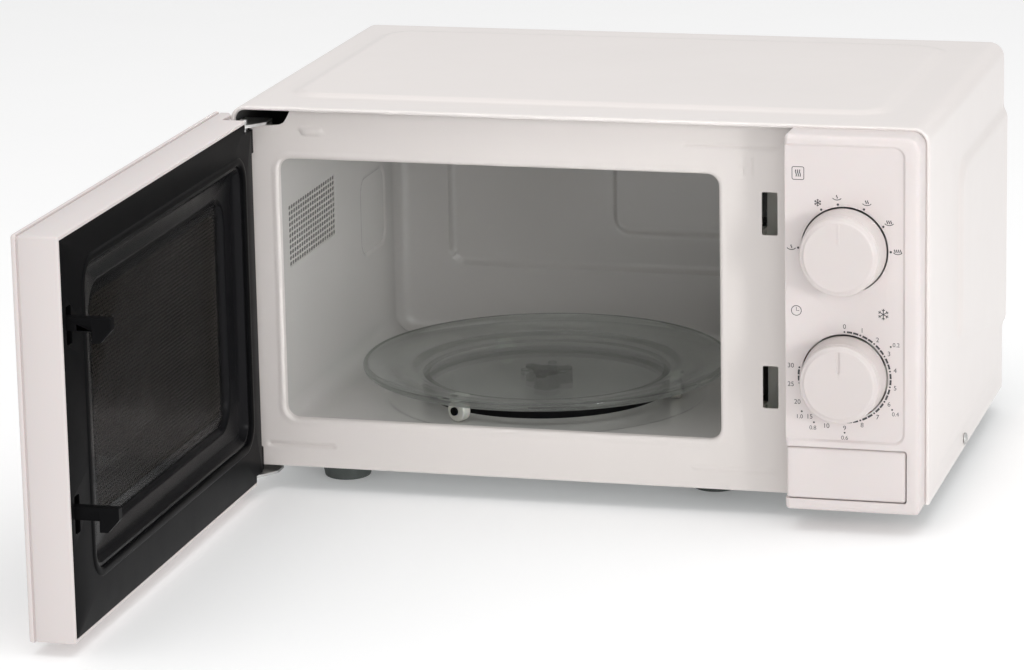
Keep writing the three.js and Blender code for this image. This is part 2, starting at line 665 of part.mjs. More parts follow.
function doorShell() {
  const { x0, x1, z0, z1, front, back, wall } = DOOR;
  const body = slab('y', roundedRect(x0, x1, z0, z1, 2), front + 1.2, back - 1.2, 2, softEdge(1.2));
  const hollow = block(x0 + wall, x1 - wall, front + wall, 0, z0 + wall, z1 - wall);
  const { x0: wx0, x1: wx1, z0: wz0, z1: wz1 } = WINDOW;
  const window = slab('y', roundedRect(wx0, wx1, wz0, wz1, 10), front - 1, front + 4);
  const groove = block(x1 - 0.9, x1 + 1, front + 3, front + 5.4, z0 - 1, z1 + 1);
  const hingeBevel = polygon([[-3, -20.5], [0, -20.5], [12, -14.5], [12, 1], [-3, 1]]);
  const heel = slab('z', hingeBevel, z0 - 1, z1 + 1);
  return cut(body, hollow, window, groove, heel, hingeCorners(-16.5, 1));
}

function doorGlass() {
  const { x0, x1, z0, z1 } = WINDOW;
  const y = DOOR.front + DOOR.wall + GAP;
  return slab('y', roundedRect(x0 - 7, x1 + 7, z0 - 7, z1 + 7, 12), y, y + 3, 2);
}

function latchPocket() {
  return block(LATCH.x - 6.6, LATCH.x + 7.4, DOOR.front, 0, 46, 200);
}

// The enamelled steel frame that carries the window screen and turns on the two hinge pins.
function doorFrame() {
  const { x1, z0, z1, wall } = DOOR;
  const left = 12.2;
  const right = x1 - wall - GAP;
  const low = z0 + wall + GAP;
  const high = z1 - wall - GAP;
  const plate = block(left, right, -12, -2.9, low, high);
  const outerRim = block(left, right, -23.5, -11, low, high);
  const rim = cut(outerRim, block(left + 7, right - 7, -25, -10, low + 7, high - 7));
  const centre = [HINGE.x, HINGE.y];
  const ears = [[-1.1, 14], [209, 224.4]].map(([from, to]) => rod('z', centre, from, to, 5.5, 5.5, 28));
  const well = slab('y', roundedRect(34, 320, 26, 206, 12), -8.5, 0);
  const { x0: sx0, x1: sx1, z0: sz0, z1: sz1 } = SIGHT;
  const tub = block(sx0 - 14, sx1 + 14, -16.5, -11, sz0 - 14, sz1 + 14);
  const seat = slab('y', roundedRect(sx0 - 8, sx1 + 8, sz0 - 8, sz1 + 8, 10), -13, 0);
  const sight = slab('y', roundedRect(sx0, sx1, sz0, sz1, 8), -18, 0);
  const pins = [[-4, 9.2], [214.6, 240]].map(([from, to]) => rod('z', centre, from, to, 2.8, 2.8, 20));
  return cut(join(plate, rim, tub, ...ears), well, seat, sight, hingeCorners(-24, 1, 0.5), latchPocket(), ...pins);
}

function doorScreen() {
  const { x0, x1, z0, z1 } = SIGHT;
  return slab('y', roundedRect(x0 - 7, x1 + 7, z0 - 7, z1 + 7, 8), -12.6, -12, 2);
}

function screenFilm() {
  const { x0, x1, z0, z1 } = SIGHT;
  return slab('y', roundedRect(x0 - 7, x1 + 7, z0 - 7, z1 + 7, 8), -11.6, -11.1, 2);
}

function chokeCover() {
  const { x1, z0, z1, wall } = DOOR;
  const edge = wall + 0.6;
  const sheet = slab('y', roundedRect(12.6, x1 - edge, z0 + edge, z1 - edge, 3), -2.5, -1.4, 2);
  const rib = slab('y', roundedRect(27, 327, 19, 213, 17), -1.5, -0.6);
  const opening = slab('y', roundedRect(32, 322, 24, 208, 13), -4, 1);
  const rise = LATCH.upper - LATCH.lower;
  const low = LATCH.lower - 9;
  const slots = [low, low + rise].map((z) => block(LATCH.x - 4.2, LATCH.x + 4.2, -4, 1, z, z + 23));
  return cut(join(sheet, rib), opening, hingeCorners(-4, 1, 0.6), ...slots);
}

function latchPlate() {
  const { x, upper, lower } = LATCH;
  const bar = block(x - 5.2, x + 5.8, -10, -5, 52, 187);
  const hooks = [upper, lower].map((z) => join(block(x - 3, x + 3, -5.1, 14, z, z + 8),
    block(x - 3, x + 3, 13, 25, z - 7, z + 8)));
  const slope = (z) => polygon([[17, z - 8], [26, z - 8], [26, z + 2]]);
  const lead = [upper, lower].map((z) => slab('x', slope(z), x - 4, x + 4));
  return cut(join(bar, ...hooks), ...lead);
}

function latchSpring() {
  return coil('z', [LATCH.x, -7.5], 187.9, 199.1, 2.6, 4, 0.45);
}

// Assembly ----------------------------------------------------------------------------------------

place('outer_cover', outerCover(), whitePaint);
place('front_plate', frontPlate(), flangePaint);
place('chamber_liner', chamberLiner(), chamberPaint);
place('base_plate', basePlate(), zinc);
place('rear_plate', rearPlate(), zinc);
const footNames = ['foot_front_left', 'foot_front_right', 'foot_rear_left', 'foot_rear_right'];
footPlaces().forEach(([x, y], i) => place(footNames[i], foot(x, y), darkRubber));
place('cover_screw_right', screw('x', [128, 6], WIDTH + GAP, WIDTH + 2.2, WIDTH - 9), steel);
place('cover_screw_left', screw('x', [128, 6], -2.2, -GAP, 9), steel);
const rearFace = COVER_BACK - 0.6;
rearScrewPlaces().forEach(([x, z], i) => {
  place(`rear_screw_${i + 1}`, screw('y', [x, z], rearFace + GAP, rearFace + 2.2, rearFace - 8), steel);
});
place('hinge_plate_upper', upperHinge(), steel);
place('hinge_plate_lower', lowerHinge(), steel);
place('waveguide', waveguide(), zinc);
place('waveguide_cover', waveguideCover(), mica);
place('magnetron', magnetron(), steel);
place('transformer', transformer(), copper);
place('capacitor', capacitor(), steel);
place('rectifier', rectifier(), blackPlastic);
place('fan_duct', fanDuct(), whiteNylon);
place('fan_motor', fanMotor(), steel);
place('fan_blade', fanBlade(), whiteNylon);
place('turntable_motor', turntableMotor(), steel);
place('chamber_lamp', chamberLamp(), clearGlass);
place('filter_board', filterBoard(), brownBoard);
place('cord_inlet', cordInlet(), blackPlastic);
place('control_panel', controlPanel(), whitePlastic);
place('power_selector', dialUnit(POWER_Z, 18, 18, 0), whiteNylon);
place('timer_unit', dialUnit(TIMER_Z, 22, 22, 8), whiteNylon);
place('power_shaft', dialShaft(POWER_Z), steel);
place('timer_shaft', dialShaft(TIMER_Z), steel);
place('power_knob', dialKnob(POWER_Z, true), whitePlastic);
place('timer_knob', dialKnob(TIMER_Z, false), whitePlastic);
place('door_button', doorButton(), whitePlastic);
place('button_spring', buttonSpring(), steel);
place('latch_board', latchBoard(), whiteNylon);
place('release_lever', releaseLever(), whiteNylon);
const switchNames = ['switch_upper', 'switch_lower', 'switch_monitor'];
switchPlaces().forEach(([y, z], i) => place(switchNames[i], doorSwitch(y, z), blackPlastic));
place('drive_coupler', driveCoupler(), blackPlastic);
place('glass_plate', glassPlate(), clearGlass);
place('roller_ring', rollerRing(), blackPlastic);
threefold((angle) => roller(angle), ROLLER_TURN).forEach((wheel, i) => {
  place(`roller_${i + 1}`, wheel, whiteNylon);
});

place('door_shell', doorShell(), whitePlastic, doorPieces);
place('door_glass', doorGlass(), tintedGlass, doorPieces);
place('door_frame', doorFrame(), blackEnamel, doorPieces);
place('door_screen', doorScreen(), blackEnamel, doorPieces);
place('screen_film', screenFilm(), clearGlass, doorPieces);
place('choke_cover', chokeCover(), blackPlastic, doorPieces);
place('latch_plate', latchPlate(), blackPlastic, doorPieces);
place('latch_spring', latchSpring(), steel, doorPieces);

// The door turns about its pins, and stands open at a right angle.
doorPieces.position.set(-HINGE.x, -HINGE.y, 0);
door.position.set(HINGE.x, HINGE.y, 0);
door.rotation.z = -Math.PI / 2;
door.add(doorPieces);

// The origin is under the middle of the oven and its open door, on the surface it stands on.
const openLeft = HINGE.x - HINGE.y + DOOR.front;
const openFront = HINGE.x + HINGE.y - DOOR.x1;
const right = WIDTH + SIDE_PRESS;
const back = COVER_BACK + INLET_LENGTH;
oven.add(cabinet, door);
oven.position.set(-(openLeft + right) / 2, -(openFront + back) / 2, FOOT_HEIGHT);

export default oven;
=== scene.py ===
import json
import math

import bmesh
import bpy
from mathutils import Matrix, Vector

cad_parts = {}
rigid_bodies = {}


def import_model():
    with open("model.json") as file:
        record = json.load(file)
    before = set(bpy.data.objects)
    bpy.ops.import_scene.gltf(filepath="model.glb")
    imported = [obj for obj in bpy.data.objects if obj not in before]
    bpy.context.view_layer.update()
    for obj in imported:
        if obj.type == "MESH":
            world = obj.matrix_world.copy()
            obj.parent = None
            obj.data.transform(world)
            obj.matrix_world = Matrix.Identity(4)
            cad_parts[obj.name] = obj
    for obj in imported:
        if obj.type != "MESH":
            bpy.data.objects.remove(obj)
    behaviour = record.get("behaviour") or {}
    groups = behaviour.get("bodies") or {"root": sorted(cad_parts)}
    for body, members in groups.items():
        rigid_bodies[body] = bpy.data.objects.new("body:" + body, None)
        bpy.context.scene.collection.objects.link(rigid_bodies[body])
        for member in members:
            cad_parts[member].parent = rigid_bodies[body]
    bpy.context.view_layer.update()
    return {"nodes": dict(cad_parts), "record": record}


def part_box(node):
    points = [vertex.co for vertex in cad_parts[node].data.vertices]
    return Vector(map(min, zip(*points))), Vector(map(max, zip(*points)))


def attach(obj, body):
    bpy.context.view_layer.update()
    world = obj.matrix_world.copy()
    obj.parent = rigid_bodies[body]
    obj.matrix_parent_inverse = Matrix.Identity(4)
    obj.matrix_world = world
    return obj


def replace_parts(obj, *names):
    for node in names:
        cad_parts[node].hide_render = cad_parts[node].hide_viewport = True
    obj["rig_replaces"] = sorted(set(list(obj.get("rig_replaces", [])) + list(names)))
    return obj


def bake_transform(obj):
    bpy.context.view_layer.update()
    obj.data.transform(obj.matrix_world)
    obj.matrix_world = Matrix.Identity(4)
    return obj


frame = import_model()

# ----------------------------------------
# The cover is one sheet of white enamelled steel wrapped over the top and both sides. Its front
# edge is hemmed, the top has a wide raised field, and the right side is pressed out over the
# electrics and stiffened by a low rib.
MM = 0.001
CORNER_RADIUS = 10
TOP_PRESS = 2.0
SIDE_PRESS = 2.6
SHEET = 0.8

cover_low, cover_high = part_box("outer_cover")
plate_low, plate_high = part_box("front_plate")
cabinet_corner = Vector((cover_low.x, plate_low.y, plate_low.z))
WIDTH = (cover_high.x - cover_low.x) / MM - SIDE_PRESS
HEIGHT = (cover_high.z - plate_low.z) / MM - TOP_PRESS
COVER_FRONT = (cover_low.y - plate_low.y) / MM
COVER_BACK = (cover_high.y - plate_low.y) / MM


def in_cabinet(x, y, z):
    return cabinet_corner + Vector((x, y, z)) * MM


def box_in_cabinet(name):
    """A drawn piece's low corner, high corner and middle."""
    low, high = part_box(name)
    return [(point - cabinet_corner) / MM for point in (low, high, (low + high) / 2)]


def new_group(name, inputs, outputs):
    group = bpy.data.node_groups.new(name, "ShaderNodeTree")
    for label, kind, value in inputs:
        socket = group.interface.new_socket(label, in_out="INPUT", socket_type=kind)
        socket.default_value = value
    for label, kind in outputs:
        group.interface.new_socket(label, in_out="OUTPUT", socket_type=kind)
    return group, group.nodes.new("NodeGroupInput"), group.nodes.new("NodeGroupOutput")


def feed(tree, socket, value):
    """Gives a socket a number, or a link from another node."""
    if isinstance(value, (int, float)):
        socket.default_value = value
    elif value is not None:
        tree.links.new(value, socket)


def noise_node(tree, coordinates, scale, detail=3.0):
    node = tree.nodes.new("ShaderNodeTexNoise")
    node.inputs["Detail"].default_value = detail
    feed(tree, node.inputs["Scale"], scale)
    tree.links.new(coordinates, node.inputs["Vector"])
    return node.outputs["Fac"]


def math_node(tree, operation, first, second, third=None):
    node = tree.nodes.new("ShaderNodeMath")
    node.operation = operation
    for socket, value in zip(node.inputs, (first, second, third)):
        feed(tree, socket, value)
    return node.outputs[0]


def mix_colours(tree, amount, first, second, blend="MIX"):
    node = tree.nodes.new("ShaderNodeMix")
    node.data_type = "RGBA"
    node.blend_type = blend
    for socket, value in ((0, amount), (6, first), (7, second)):
        if isinstance(value, tuple):
            node.inputs[socket].default_value = (*value, 1)
        else:
            tree.links.new(value, node.inputs[socket])
    return node.outputs[2]


SURFACE_OUTPUTS = [
    ("Colour", "NodeSocketColor"), ("Roughness", "NodeSocketFloat"), ("Height", "NodeSocketFloat"),
]


def give_surface(group, out, colour, rough, height):
    for label, value in (("Colour", colour), ("Roughness", rough), ("Height", height)):
        group.links.new(value, out.inputs[label])


def skin_group():
    """Slow changes of tone and gloss over a painted or moulded face, and its fine grain."""
    group, given, out = new_group(
        "painted_skin",
        [
            ("Colour", "NodeSocketColor", (0.8, 0.8, 0.8, 1)),
            ("Tone", "NodeSocketFloat", 0.1),
            ("Roughness", "NodeSocketFloat", 0.4),
            ("Spread", "NodeSocketFloat", 0.1),
            ("Grain", "NodeSocketFloat", 900.0),
        ],
        SURFACE_OUTPUTS,
    )
    place = group.nodes.new("ShaderNodeTexCoord").outputs["Object"]
    slow = noise_node(group, place, 11.0)
    smudge = noise_node(group, place, 47.0, 4.0)
    grain = noise_node(group, place, given.outputs["Grain"], 2.0)
    grey = math_node(group, "MULTIPLY_ADD", slow, 0.9, 0.3)
    colour = mix_colours(group, given.outputs["Tone"], given.outputs["Colour"], grey, "MULTIPLY")
    shift = math_node(group, "SUBTRACT", smudge, 0.5)
    rough = math_node(group, "MULTIPLY_ADD", shift, given.outputs["Spread"], given.outputs["Roughness"])
    give_surface(group, out, colour, rough, grain)
    return group


def edge_highlight_group():
    """A mask that is strong along outer edges, broken up by a fine noise: where a lighter colour paints a
    highlight.
    """
    group, given, out = new_group(
        "painted_edge_highlights",
        [("Reach", "NodeSocketFloat", 0.5)],
        [("Mask", "NodeSocketFloat")],
    )
    shape = group.nodes.new("ShaderNodeNewGeometry").outputs["Pointiness"]
    place = group.nodes.new("ShaderNodeTexCoord").outputs["Object"]
    broken = noise_node(group, place, 220.0, 4.0)
    edge = group.nodes.new("ShaderNodeMapRange")
    edge.inputs["From Min"].default_value = 0.52
    edge.inputs["From Max"].default_value = 0.62
    group.links.new(shape, edge.inputs["Value"])
    mask = math_node(group, "MULTIPLY", edge.outputs["Result"], broken)
    group.links.new(math_node(group, "MULTIPLY", mask, given.outputs["Reach"]), out.inputs["Mask"])
    return group


painted_skin = skin_group()
painted_edge_highlights = edge_highlight_group()


def place_group(tree, group, **values):
    node = tree.nodes.new("ShaderNodeGroup")
    node.node_tree = group
    for label, value in values.items():
        node.inputs[label].default_value = value
    return node


def new_finish(name):
    finish = bpy.data.materials.new(name)
    finish.use_nodes = True
    return finish, finish.node_tree, finish.node_tree.nodes["Principled BSDF"]


def join_surface(tree, shader, surface, colour, strength, depth):
    """Feeds the shader a colour, and the gloss and the bumps of a surface group."""
    bump = tree.nodes.new("ShaderNodeBump")
    bump.inputs["Strength"].default_value = strength
    bump.inputs["Distance"].default_value = depth
    tree.links.new(colour, shader.inputs["Base Color"])
    tree.links.new(surface.outputs["Roughness"], shader.inputs["Roughness"])
    tree.links.new(surface.outputs["Height"], bump.inputs["Height"])
    tree.links.new(bump.outputs["Normal"], shader.inputs["Normal"])


def skin_finish(
    name, colour, roughness, tone=0.1, spread=0.12, grain=900.0, depth=0.00003, edge_highlight=None, **sockets
):
    """A painted, moulded or glazed finish: varying tone and gloss, fine grain, and, if given, a lighter
    colour along outer edges as a painted highlight.
    """
    finish, tree, shader = new_finish(name)
    skin = place_group(
        tree, painted_skin, Colour=(*colour, 1), Tone=tone, Roughness=roughness, Spread=spread, Grain=grain
    )
    face = skin.outputs["Colour"]
    # A lighter colour along the outer edges paints a highlight there.
    if edge_highlight:
        edges = place_group(tree, painted_edge_highlights, Reach=0.8)
        face = mix_colours(tree, edges.outputs["Mask"], face, edge_highlight)
    join_surface(tree, shader, skin, face, 0.6, depth)
    for label, value in sockets.items():
        shader.inputs[label.replace("_", " ")].default_value = value
    return finish


def let_light_through(finish, colour, share=0.0):
    """Lets light go straight on to what lies behind a glass, and a share of the view as well."""
    tree = finish.node_tree
    shader = tree.nodes["Principled BSDF"]
    end = tree.nodes["Material Output"]
    path = tree.nodes.new("ShaderNodeLightPath")
    clear = tree.nodes.new("ShaderNodeBsdfTransparent")
    clear.inputs["Color"].default_value = (*colour, 1)
    mix = tree.nodes.new("ShaderNodeMixShader")
    either = math_node(tree, "MAXIMUM", path.outputs["Is Shadow Ray"], path.outputs["Is Diffuse Ray"])
    tree.links.new(math_node(tree, "MAXIMUM", either, share), mix.inputs[0])
    tree.links.new(shader.outputs[0], mix.inputs[1])
    tree.links.new(clear.outputs[0], mix.inputs[2])
    tree.links.new(mix.outputs[0], end.inputs["Surface"])


def loft(loops, ring=True, around=False, caps=(False, False)):
    """Faces between loops of the same number of points."""
    count = len(loops[0])
    points = [point for loop in loops for point in loop]
    faces = []
    for row in range(len(loops) if around else len(loops) - 1):
        near = row * count
        far = ((row + 1) % len(loops)) * count
        for column in range(count if ring else count - 1):
            beside = (column + 1) % count
            faces.append((near + column, near + beside, far + beside, far + column))
    if caps[0]:
        faces.append(tuple(range(count)))
    if caps[1]:
        faces.append(tuple(range((len(loops) - 1) * count, len(loops) * count)))
    return points, faces


def join_shapes(shapes):
    """One shape from several."""
    points, faces = [], []
    for shape_points, shape_faces in shapes:
        base = len(points)
        points += shape_points
        faces += [tuple(index + base for index in face) for face in shape_faces]
    return points, faces


def add_object(name, data):
    added = bpy.data.objects.new(name, data)
    bpy.context.scene.collection.objects.link(added)
    return added


def shade(mesh, crease):
    mesh.shade_smooth()
    mesh.set_sharp_from_angle(angle=math.radians(crease))


def make_piece(name, shape, finish, body, place=in_cabinet, crease=35, stands_for=()):
    points, faces = shape
    mesh = bpy.data.meshes.new(name)
    mesh.from_pydata([place(*point) for point in points], [], faces)
    work = bmesh.new()
    work.from_mesh(mesh)
    bmesh.ops.remove_doubles(work, verts=work.verts, dist=0.01 * MM)
    bmesh.ops.recalc_face_normals(work, faces=work.faces)
    work.to_mesh(mesh)
    work.free()
    shade(mesh, crease)
    mesh.materials.append(finish)
    piece = add_object(name, mesh)
    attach(piece, body)
    if stands_for:
        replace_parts(piece, *stands_for)
    return piece


def settle(piece, crease=35):
    """Applies a piece's modifiers."""
    depsgraph = bpy.context.evaluated_depsgraph_get()
    worked = bpy.data.meshes.new_from_object(piece.evaluated_get(depsgraph))
    piece.modifiers.clear()
    piece.data = worked
    shade(worked, crease)


def thicken(piece, thickness, side=-1.0, inner=0):
    sheet = piece.modifiers.new("sheet", "SOLIDIFY")
    sheet.material_offset = inner
    sheet.thickness = thickness * MM
    sheet.offset = side
    sheet.use_even_offset = True
    settle(piece)


def soft_step(distance, width):
    t = min(max(distance / width, 0.0), 1.0)
    return t * t * (3 - 2 * t)


def depth_in_rounded(u, v, u0, u1, v0, v1, r):
    """How far a point lies inside a rounded rectangle, negative outside."""
    du = abs(u - (u0 + u1) / 2) - ((u1 - u0) / 2 - r)
    dv = abs(v - (v0 + v1) / 2) - ((v1 - v0) / 2 - r)
    return r - math.hypot(max(du, 0), max(dv, 0)) - min(max(du, dv), 0)


def depth_in_outline(u, v, outline):
    """How far a point lies inside a convex outline drawn anticlockwise."""
    depths = []
    for (au, av), (bu, bv) in zip(outline, outline[1:] + outline[:1]):
        length = math.hypot(bu - au, bv - av)
        depths.append(((bu - au) * (v - av) - (bv - av) * (u - au)) / length)
    return min(depths)


def depth_in_capsule(u, v, au, av, bu, bv, r):
    """How far a point lies inside a bar with round ends."""
    du, dv = bu - au, bv - av
    t = min(max(((u - au) * du + (v - av) * dv) / (du * du + dv * dv), 0.0), 1.0)
    return r - math.hypot(u - au - t * du, v - av - t * dv)


def spread_out(start, end, count):
    return [start + (end - start) * i / count for i in range(count + 1)]


def cover_profile(inset):
    """Points up the left side, over the top and down the right, each with its outward direction."""
    r = CORNER_RADIUS - inset
    left, right, top = inset, WIDTH - inset, HEIGHT - inset
    profile = [(left, z, -1, 0) for z in spread_out(0, top - r, 36)]
    for step in range(1, 8):
        angle = math.pi - math.pi / 2 * step / 8
        c, s = math.cos(angle), math.sin(angle)
        profile.append((left + r + r * c, top - r + r * s, c, s))
    profile += [(x, top, 0, 1) for x in spread_out(left + r, right - r, 124)]
    for step in range(1, 8):
        angle = math.pi / 2 - math.pi / 2 * step / 8
        c, s = math.cos(angle), math.sin(angle)
        profile.append((right - r + r * c, top - r + r * s, c, s))
    profile += [(right, z, 1, 0) for z in spread_out(top - r, 0, 80)]
    return profile


TOP_FIELD = (26, 418, 26, 262, 22)
SIDE_FIELD = [(98, 79), (COVER_BACK + 8, 42), (COVER_BACK + 8, 197), (112, 197), (98, 184)]
SIDE_RIB = (25, 17, 253, 17, 3.2)


def cover_press(x, y, z):
    if z >= HEIGHT - 0.01:
        return TOP_PRESS * soft_step(depth_in_rounded(x, y, *TOP_FIELD), 5)
    if x >= WIDTH - 0.01:
        field = SIDE_PRESS * soft_step(depth_in_outline(y, z, SIDE_FIELD), 7)
        return field + 0.8 * soft_step(depth_in_capsule(y, z, *SIDE_RIB), 3.2)
    return 0.0


def cover_rows():
    """Where the section stands along the cover: round the front hem, back, and round the rear edge."""
    hem = 1.3
    rows = [(COVER_FRONT + hem + 3, 2 * hem)]
    for step in range(7):
        angle = math.pi * step / 6
        rows.append((COVER_FRONT + hem - hem * math.sin(angle), hem + hem * math.cos(angle)))
    rows += [(y, 0) for y in spread_out(-4, COVER_BACK - 1.5, 92)]
    rows += [(COVER_BACK - 0.5, 0.15), (COVER_BACK, 0.6)]
    return rows


def cover_shape():
    loops = []
    for y, inset in cover_rows():
        loop = []
        for x, z, nx, nz in cover_profile(inset):
            press = cover_press(x, y, z) if inset == 0 else 0.0
            loop.append((x + nx * press, y, z + nz * press))
        loops.append(loop)
    return loft(loops, ring=False)


# The white enamel's outer edges are coloured lighter: a painted highlight.
white_enamel = skin_finish(
    "white_enamel", (0.80, 0.748, 0.725), 0.34, tone=0.05, spread=0.1, grain=420.0, depth=0.00002,
    edge_highlight=(0.9, 0.89, 0.88), Coat_Weight=0.25, Coat_Roughness=0.2,
)
cover = make_piece("cover_sheet", cover_shape(), white_enamel, "cabinet", stands_for=["outer_cover"])
# The cover's inner faces take a near-black primer: partly the primer's own grey, partly painted shade for the
# dark space seen through the chamber's holes.
primer_and_painted_shade = skin_finish("dark_primer_painted_shade", (0.09, 0.09, 0.088), 0.6, tone=0.2, grain=500.0, depth=0.00002)
cover.data.materials.append(primer_and_painted_shade)
thicken(cover, SHEET, inner=1)

# ----------------------------------------
# The front plate is a pressed steel flange in off-white enamel, folded round the oven's mouth.
# Stiffening pills and grooves are pressed in its face. Two slots take the door's hooks, and the
# upper left corner is cut away round the hinge arm.
OPENING = (28.6, 317.0, 32.5, 204.5)
SIDE_GAP = 1.15
UNDER_PANEL = 6.8
PLATE_RIGHT = (plate_high.x - plate_low.x) / MM + SIDE_GAP + UNDER_PANEL
PLATE_TOP = (plate_high.z - plate_low.z) / MM
HOOK_SLOTS = [(344.3, 354.4, 55.0, 82.6), (344.3, 354.4, 166.8, 194.4)]


def rounded_loop(u0, u1, v0, v1, radii, along=(140, 90), corner=8):
    """Points anticlockwise round a rounded rectangle, from its low left corner."""
    if isinstance(radii, (int, float)):
        radii = (radii,) * 4
    arcs = []
    for (u, v, du, dv, start), r in zip(
        [(u0, v0, 1, 1, 180), (u1, v0, -1, 1, 270), (u1, v1, -1, -1, 0), (u0, v1, 1, -1, 90)], radii
    ):
        angles = [math.radians(start + 90 * i / corner) for i in range(corner + 1)]
        arcs.append([(u + du * r + r * math.cos(a), v + dv * r + r * math.sin(a)) for a in angles])
    points = []
    for index, arc in enumerate(arcs):
        (au, av), (bu, bv) = arc[-1], arcs[(index + 1) % 4][0]
        count = along[index % 2]
        points += arc
        points += [(au + (bu - au) * i / count, av + (bv - av) * i / count) for i in range(1, count)]
    return points


def grown(box, amount, radii, **counts):
    """A rounded rectangle set outwards by an amount, inwards if negative."""
    u0, u1, v0, v1 = box
    if isinstance(radii, (int, float)):
        radii = (radii,) * 4
    radii = [max(r + amount, 0.05) for r in radii]
    return rounded_loop(u0 - amount, u1 + amount, v0 - amount, v1 + amount, radii, **counts)


def between(first, last, count):
    """Loops that run evenly from one loop to another, without the two themselves."""
    loops = []
    for step in range(1, count):
        t = step / count
        loops.append([(a + (c - a) * t, b + (d - b) * t) for (a, b), (c, d) in zip(first, last)])
    return loops


def standing(loop, y, press=None):
    """An (x, z) loop stood up at a depth y, pushed back or forward by a press."""
    return [(x, y + (press(x, z) if press else 0.0), z) for x, z in loop]


def stacked(box, radii, section, front=0.0, **counts):
    """Loops round one rectangle, for each (inset, depth) of a section."""
    return [standing(grown(box, -inset, radii, **counts), front + y) for inset, y in section]


def pressed(section, **counts):
    """A closed pressing, from a section of (rectangle, outset, radius, depth)."""
    return loft([standing(grown(box, grow, r, **counts), y) for box, grow, r, y in section], around=True)


def cut_away(piece, shapes, place=in_cabinet, crease=35):
    """Cuts closed shapes out of a piece."""
    mesh = bpy.data.meshes.new("cutter")
    points, faces = join_shapes(shapes)
    mesh.from_pydata([place(*point) for point in points], [], faces)
    work = bmesh.new()
    work.from_mesh(mesh)
    bmesh.ops.recalc_face_normals(work, faces=work.faces)
    work.to_mesh(mesh)
    work.free()
    cutter = add_object("cutter", mesh)
    tool = piece.modifiers.new("cut", "BOOLEAN")
    tool.object = cutter
    tool.solver = "EXACT"
    settle(piece, crease)
    bpy.data.objects.remove(cutter)


def bar(loop, y0, y1):
    """A closed bar with an (x, z) outline, from one depth to another."""
    return loft([standing(loop, y0), standing(loop, y1)], caps=(True, True))


def box_shape(x0, x1, y0, y1, z0, z1):
    return bar([(x0, z0), (x1, z0), (x1, z1), (x0, z1)], y0, y1)


def plate_press(x, z):
    bead = depth_in_rounded(x, z, 25.4, 320.2, 29.3, 207.7, 11)
    pushed = 0.28 * soft_step(bead + 1.6, 1.6) * (1 - soft_step(bead - 1.6, 1.6))
    pushed += 1.15 * soft_step(depth_in_capsule(x, z, 46.5, 222.8, 57, 222.8, 2.5), 1.0)
    pushed -= 1.2 * soft_step(depth_in_capsule(x, z, 17, 14.8, 60, 14.8, 2.0), 1.8)
    pushed -= 0.9 * soft_step(depth_in_capsule(x, z, 295, 223, 354, 223, 1.8), 1.8)
    pushed -= 0.7 * soft_step(depth_in_capsule(x, z, 332.5, 204, 332.5, 217, 1.3), 1.3)
    pushed -= 0.7 * soft_step(depth_in_capsule(x, z, 337.5, 204, 337.5, 217, 1.3), 1.3)
    pushed += 0.7 * soft_step(depth_in_capsule(x, z, 300, 14, 351, 14, 2.4), 2.4)
    return -pushed


def plate_shape():
    counts = {"along": (230, 150)}
    outline = (SIDE_GAP, PLATE_RIGHT, 0, PLATE_TOP)

    def mouth(amount):
        return grown(OPENING, amount, 8, **counts)

    def rim(amount):
        return grown(outline, amount, 4, **counts)

    lip, edge = mouth(1.6), rim(-1.2)
    loops = [standing(mouth(amount), y) for amount, y in ((0, 5), (0, 1.6), (0.25, 0.75), (0.8, 0.25))]
    loops += [standing(loop, 0, plate_press) for loop in [lip, *between(lip, edge, 32), edge]]
    loops += [standing(rim(amount), y) for amount, y in ((-0.3, 0.3), (0, 1.2), (0, 1.7))]
    loops += [standing(mouth(0.9), 1.7), standing(mouth(0.9), 5)]
    return loft(loops, around=True)


def recess_outline():
    bend = [(23, 226), (30, 226.6), (33, 228), (35, 231), (37, 235), (39, PLATE_TOP + 1)]
    return [(-2, 226), *bend, (-2, PLATE_TOP + 1)]


# The flange enamel's outer edges are coloured lighter: a painted highlight.
flange_enamel = skin_finish(
    "flange_enamel", (0.72, 0.675, 0.65), 0.36, tone=0.08, spread=0.12, grain=500.0, depth=0.00002,
    edge_highlight=(0.8, 0.78, 0.75), Coat_Weight=0.2, Coat_Roughness=0.25,
)
front_flange = make_piece("front_flange", plate_shape(), flange_enamel, "cabinet",
                          stands_for=["front_plate"])
openings = [bar(rounded_loop(*slot, 1.2, along=(4, 4), corner=4), -3, 8) for slot in HOOK_SLOTS]
cut_away(front_flange, [*openings, bar(recess_outline(), -3, 8)])

# ----------------------------------------
# The cooking chamber is a welded steel box in light grey enamel with rolled inner corners. Its
# back wall has stepped panels, its floor a low step round the turntable's track, and its side
# walls carry fields of small punched holes for the air and the lamp.
CHAMBER = (24.5, 321.0, 22.0, 211.0)
CHAMBER_BACK = 276.0
CHAMBER_RADII = (15, 15, 9, 9)
AXIS_X, AXIS_Y = 170.0, 129.0
AIR_FIELD = (31, 131, 125.5, 166.5)
LAMP_FIELD = (40, 78, 168, 202)
PUNCHED_SHEET = 0.3


def back_press(x, z):
    panel = 2.6 * soft_step(depth_in_rounded(x, z, 62, 460, 72.5, 460, 12), 3.2)
    upper = 2.0 * soft_step(depth_in_rounded(x, z, 180, 460, 98, 460, 12), 3.2)
    return panel + upper


def floor_press(x, y, z):
    radius = math.hypot(x - AXIS_X, y - AXIS_Y)
    fade = 1 - soft_step(z - CHAMBER[2], 12)
    return fade * (1.7 * soft_step(radius - 104, 4) - 0.6 * (1 - soft_step(radius - 24, 4)))


def wall_press(x, y, z):
    if x > CHAMBER[0] + 0.01:
        return 0.0
    pocket = depth_in_rounded(y, z, 190, 247, 94, 150, 12)
    return -1.8 * soft_step(pocket, 4)


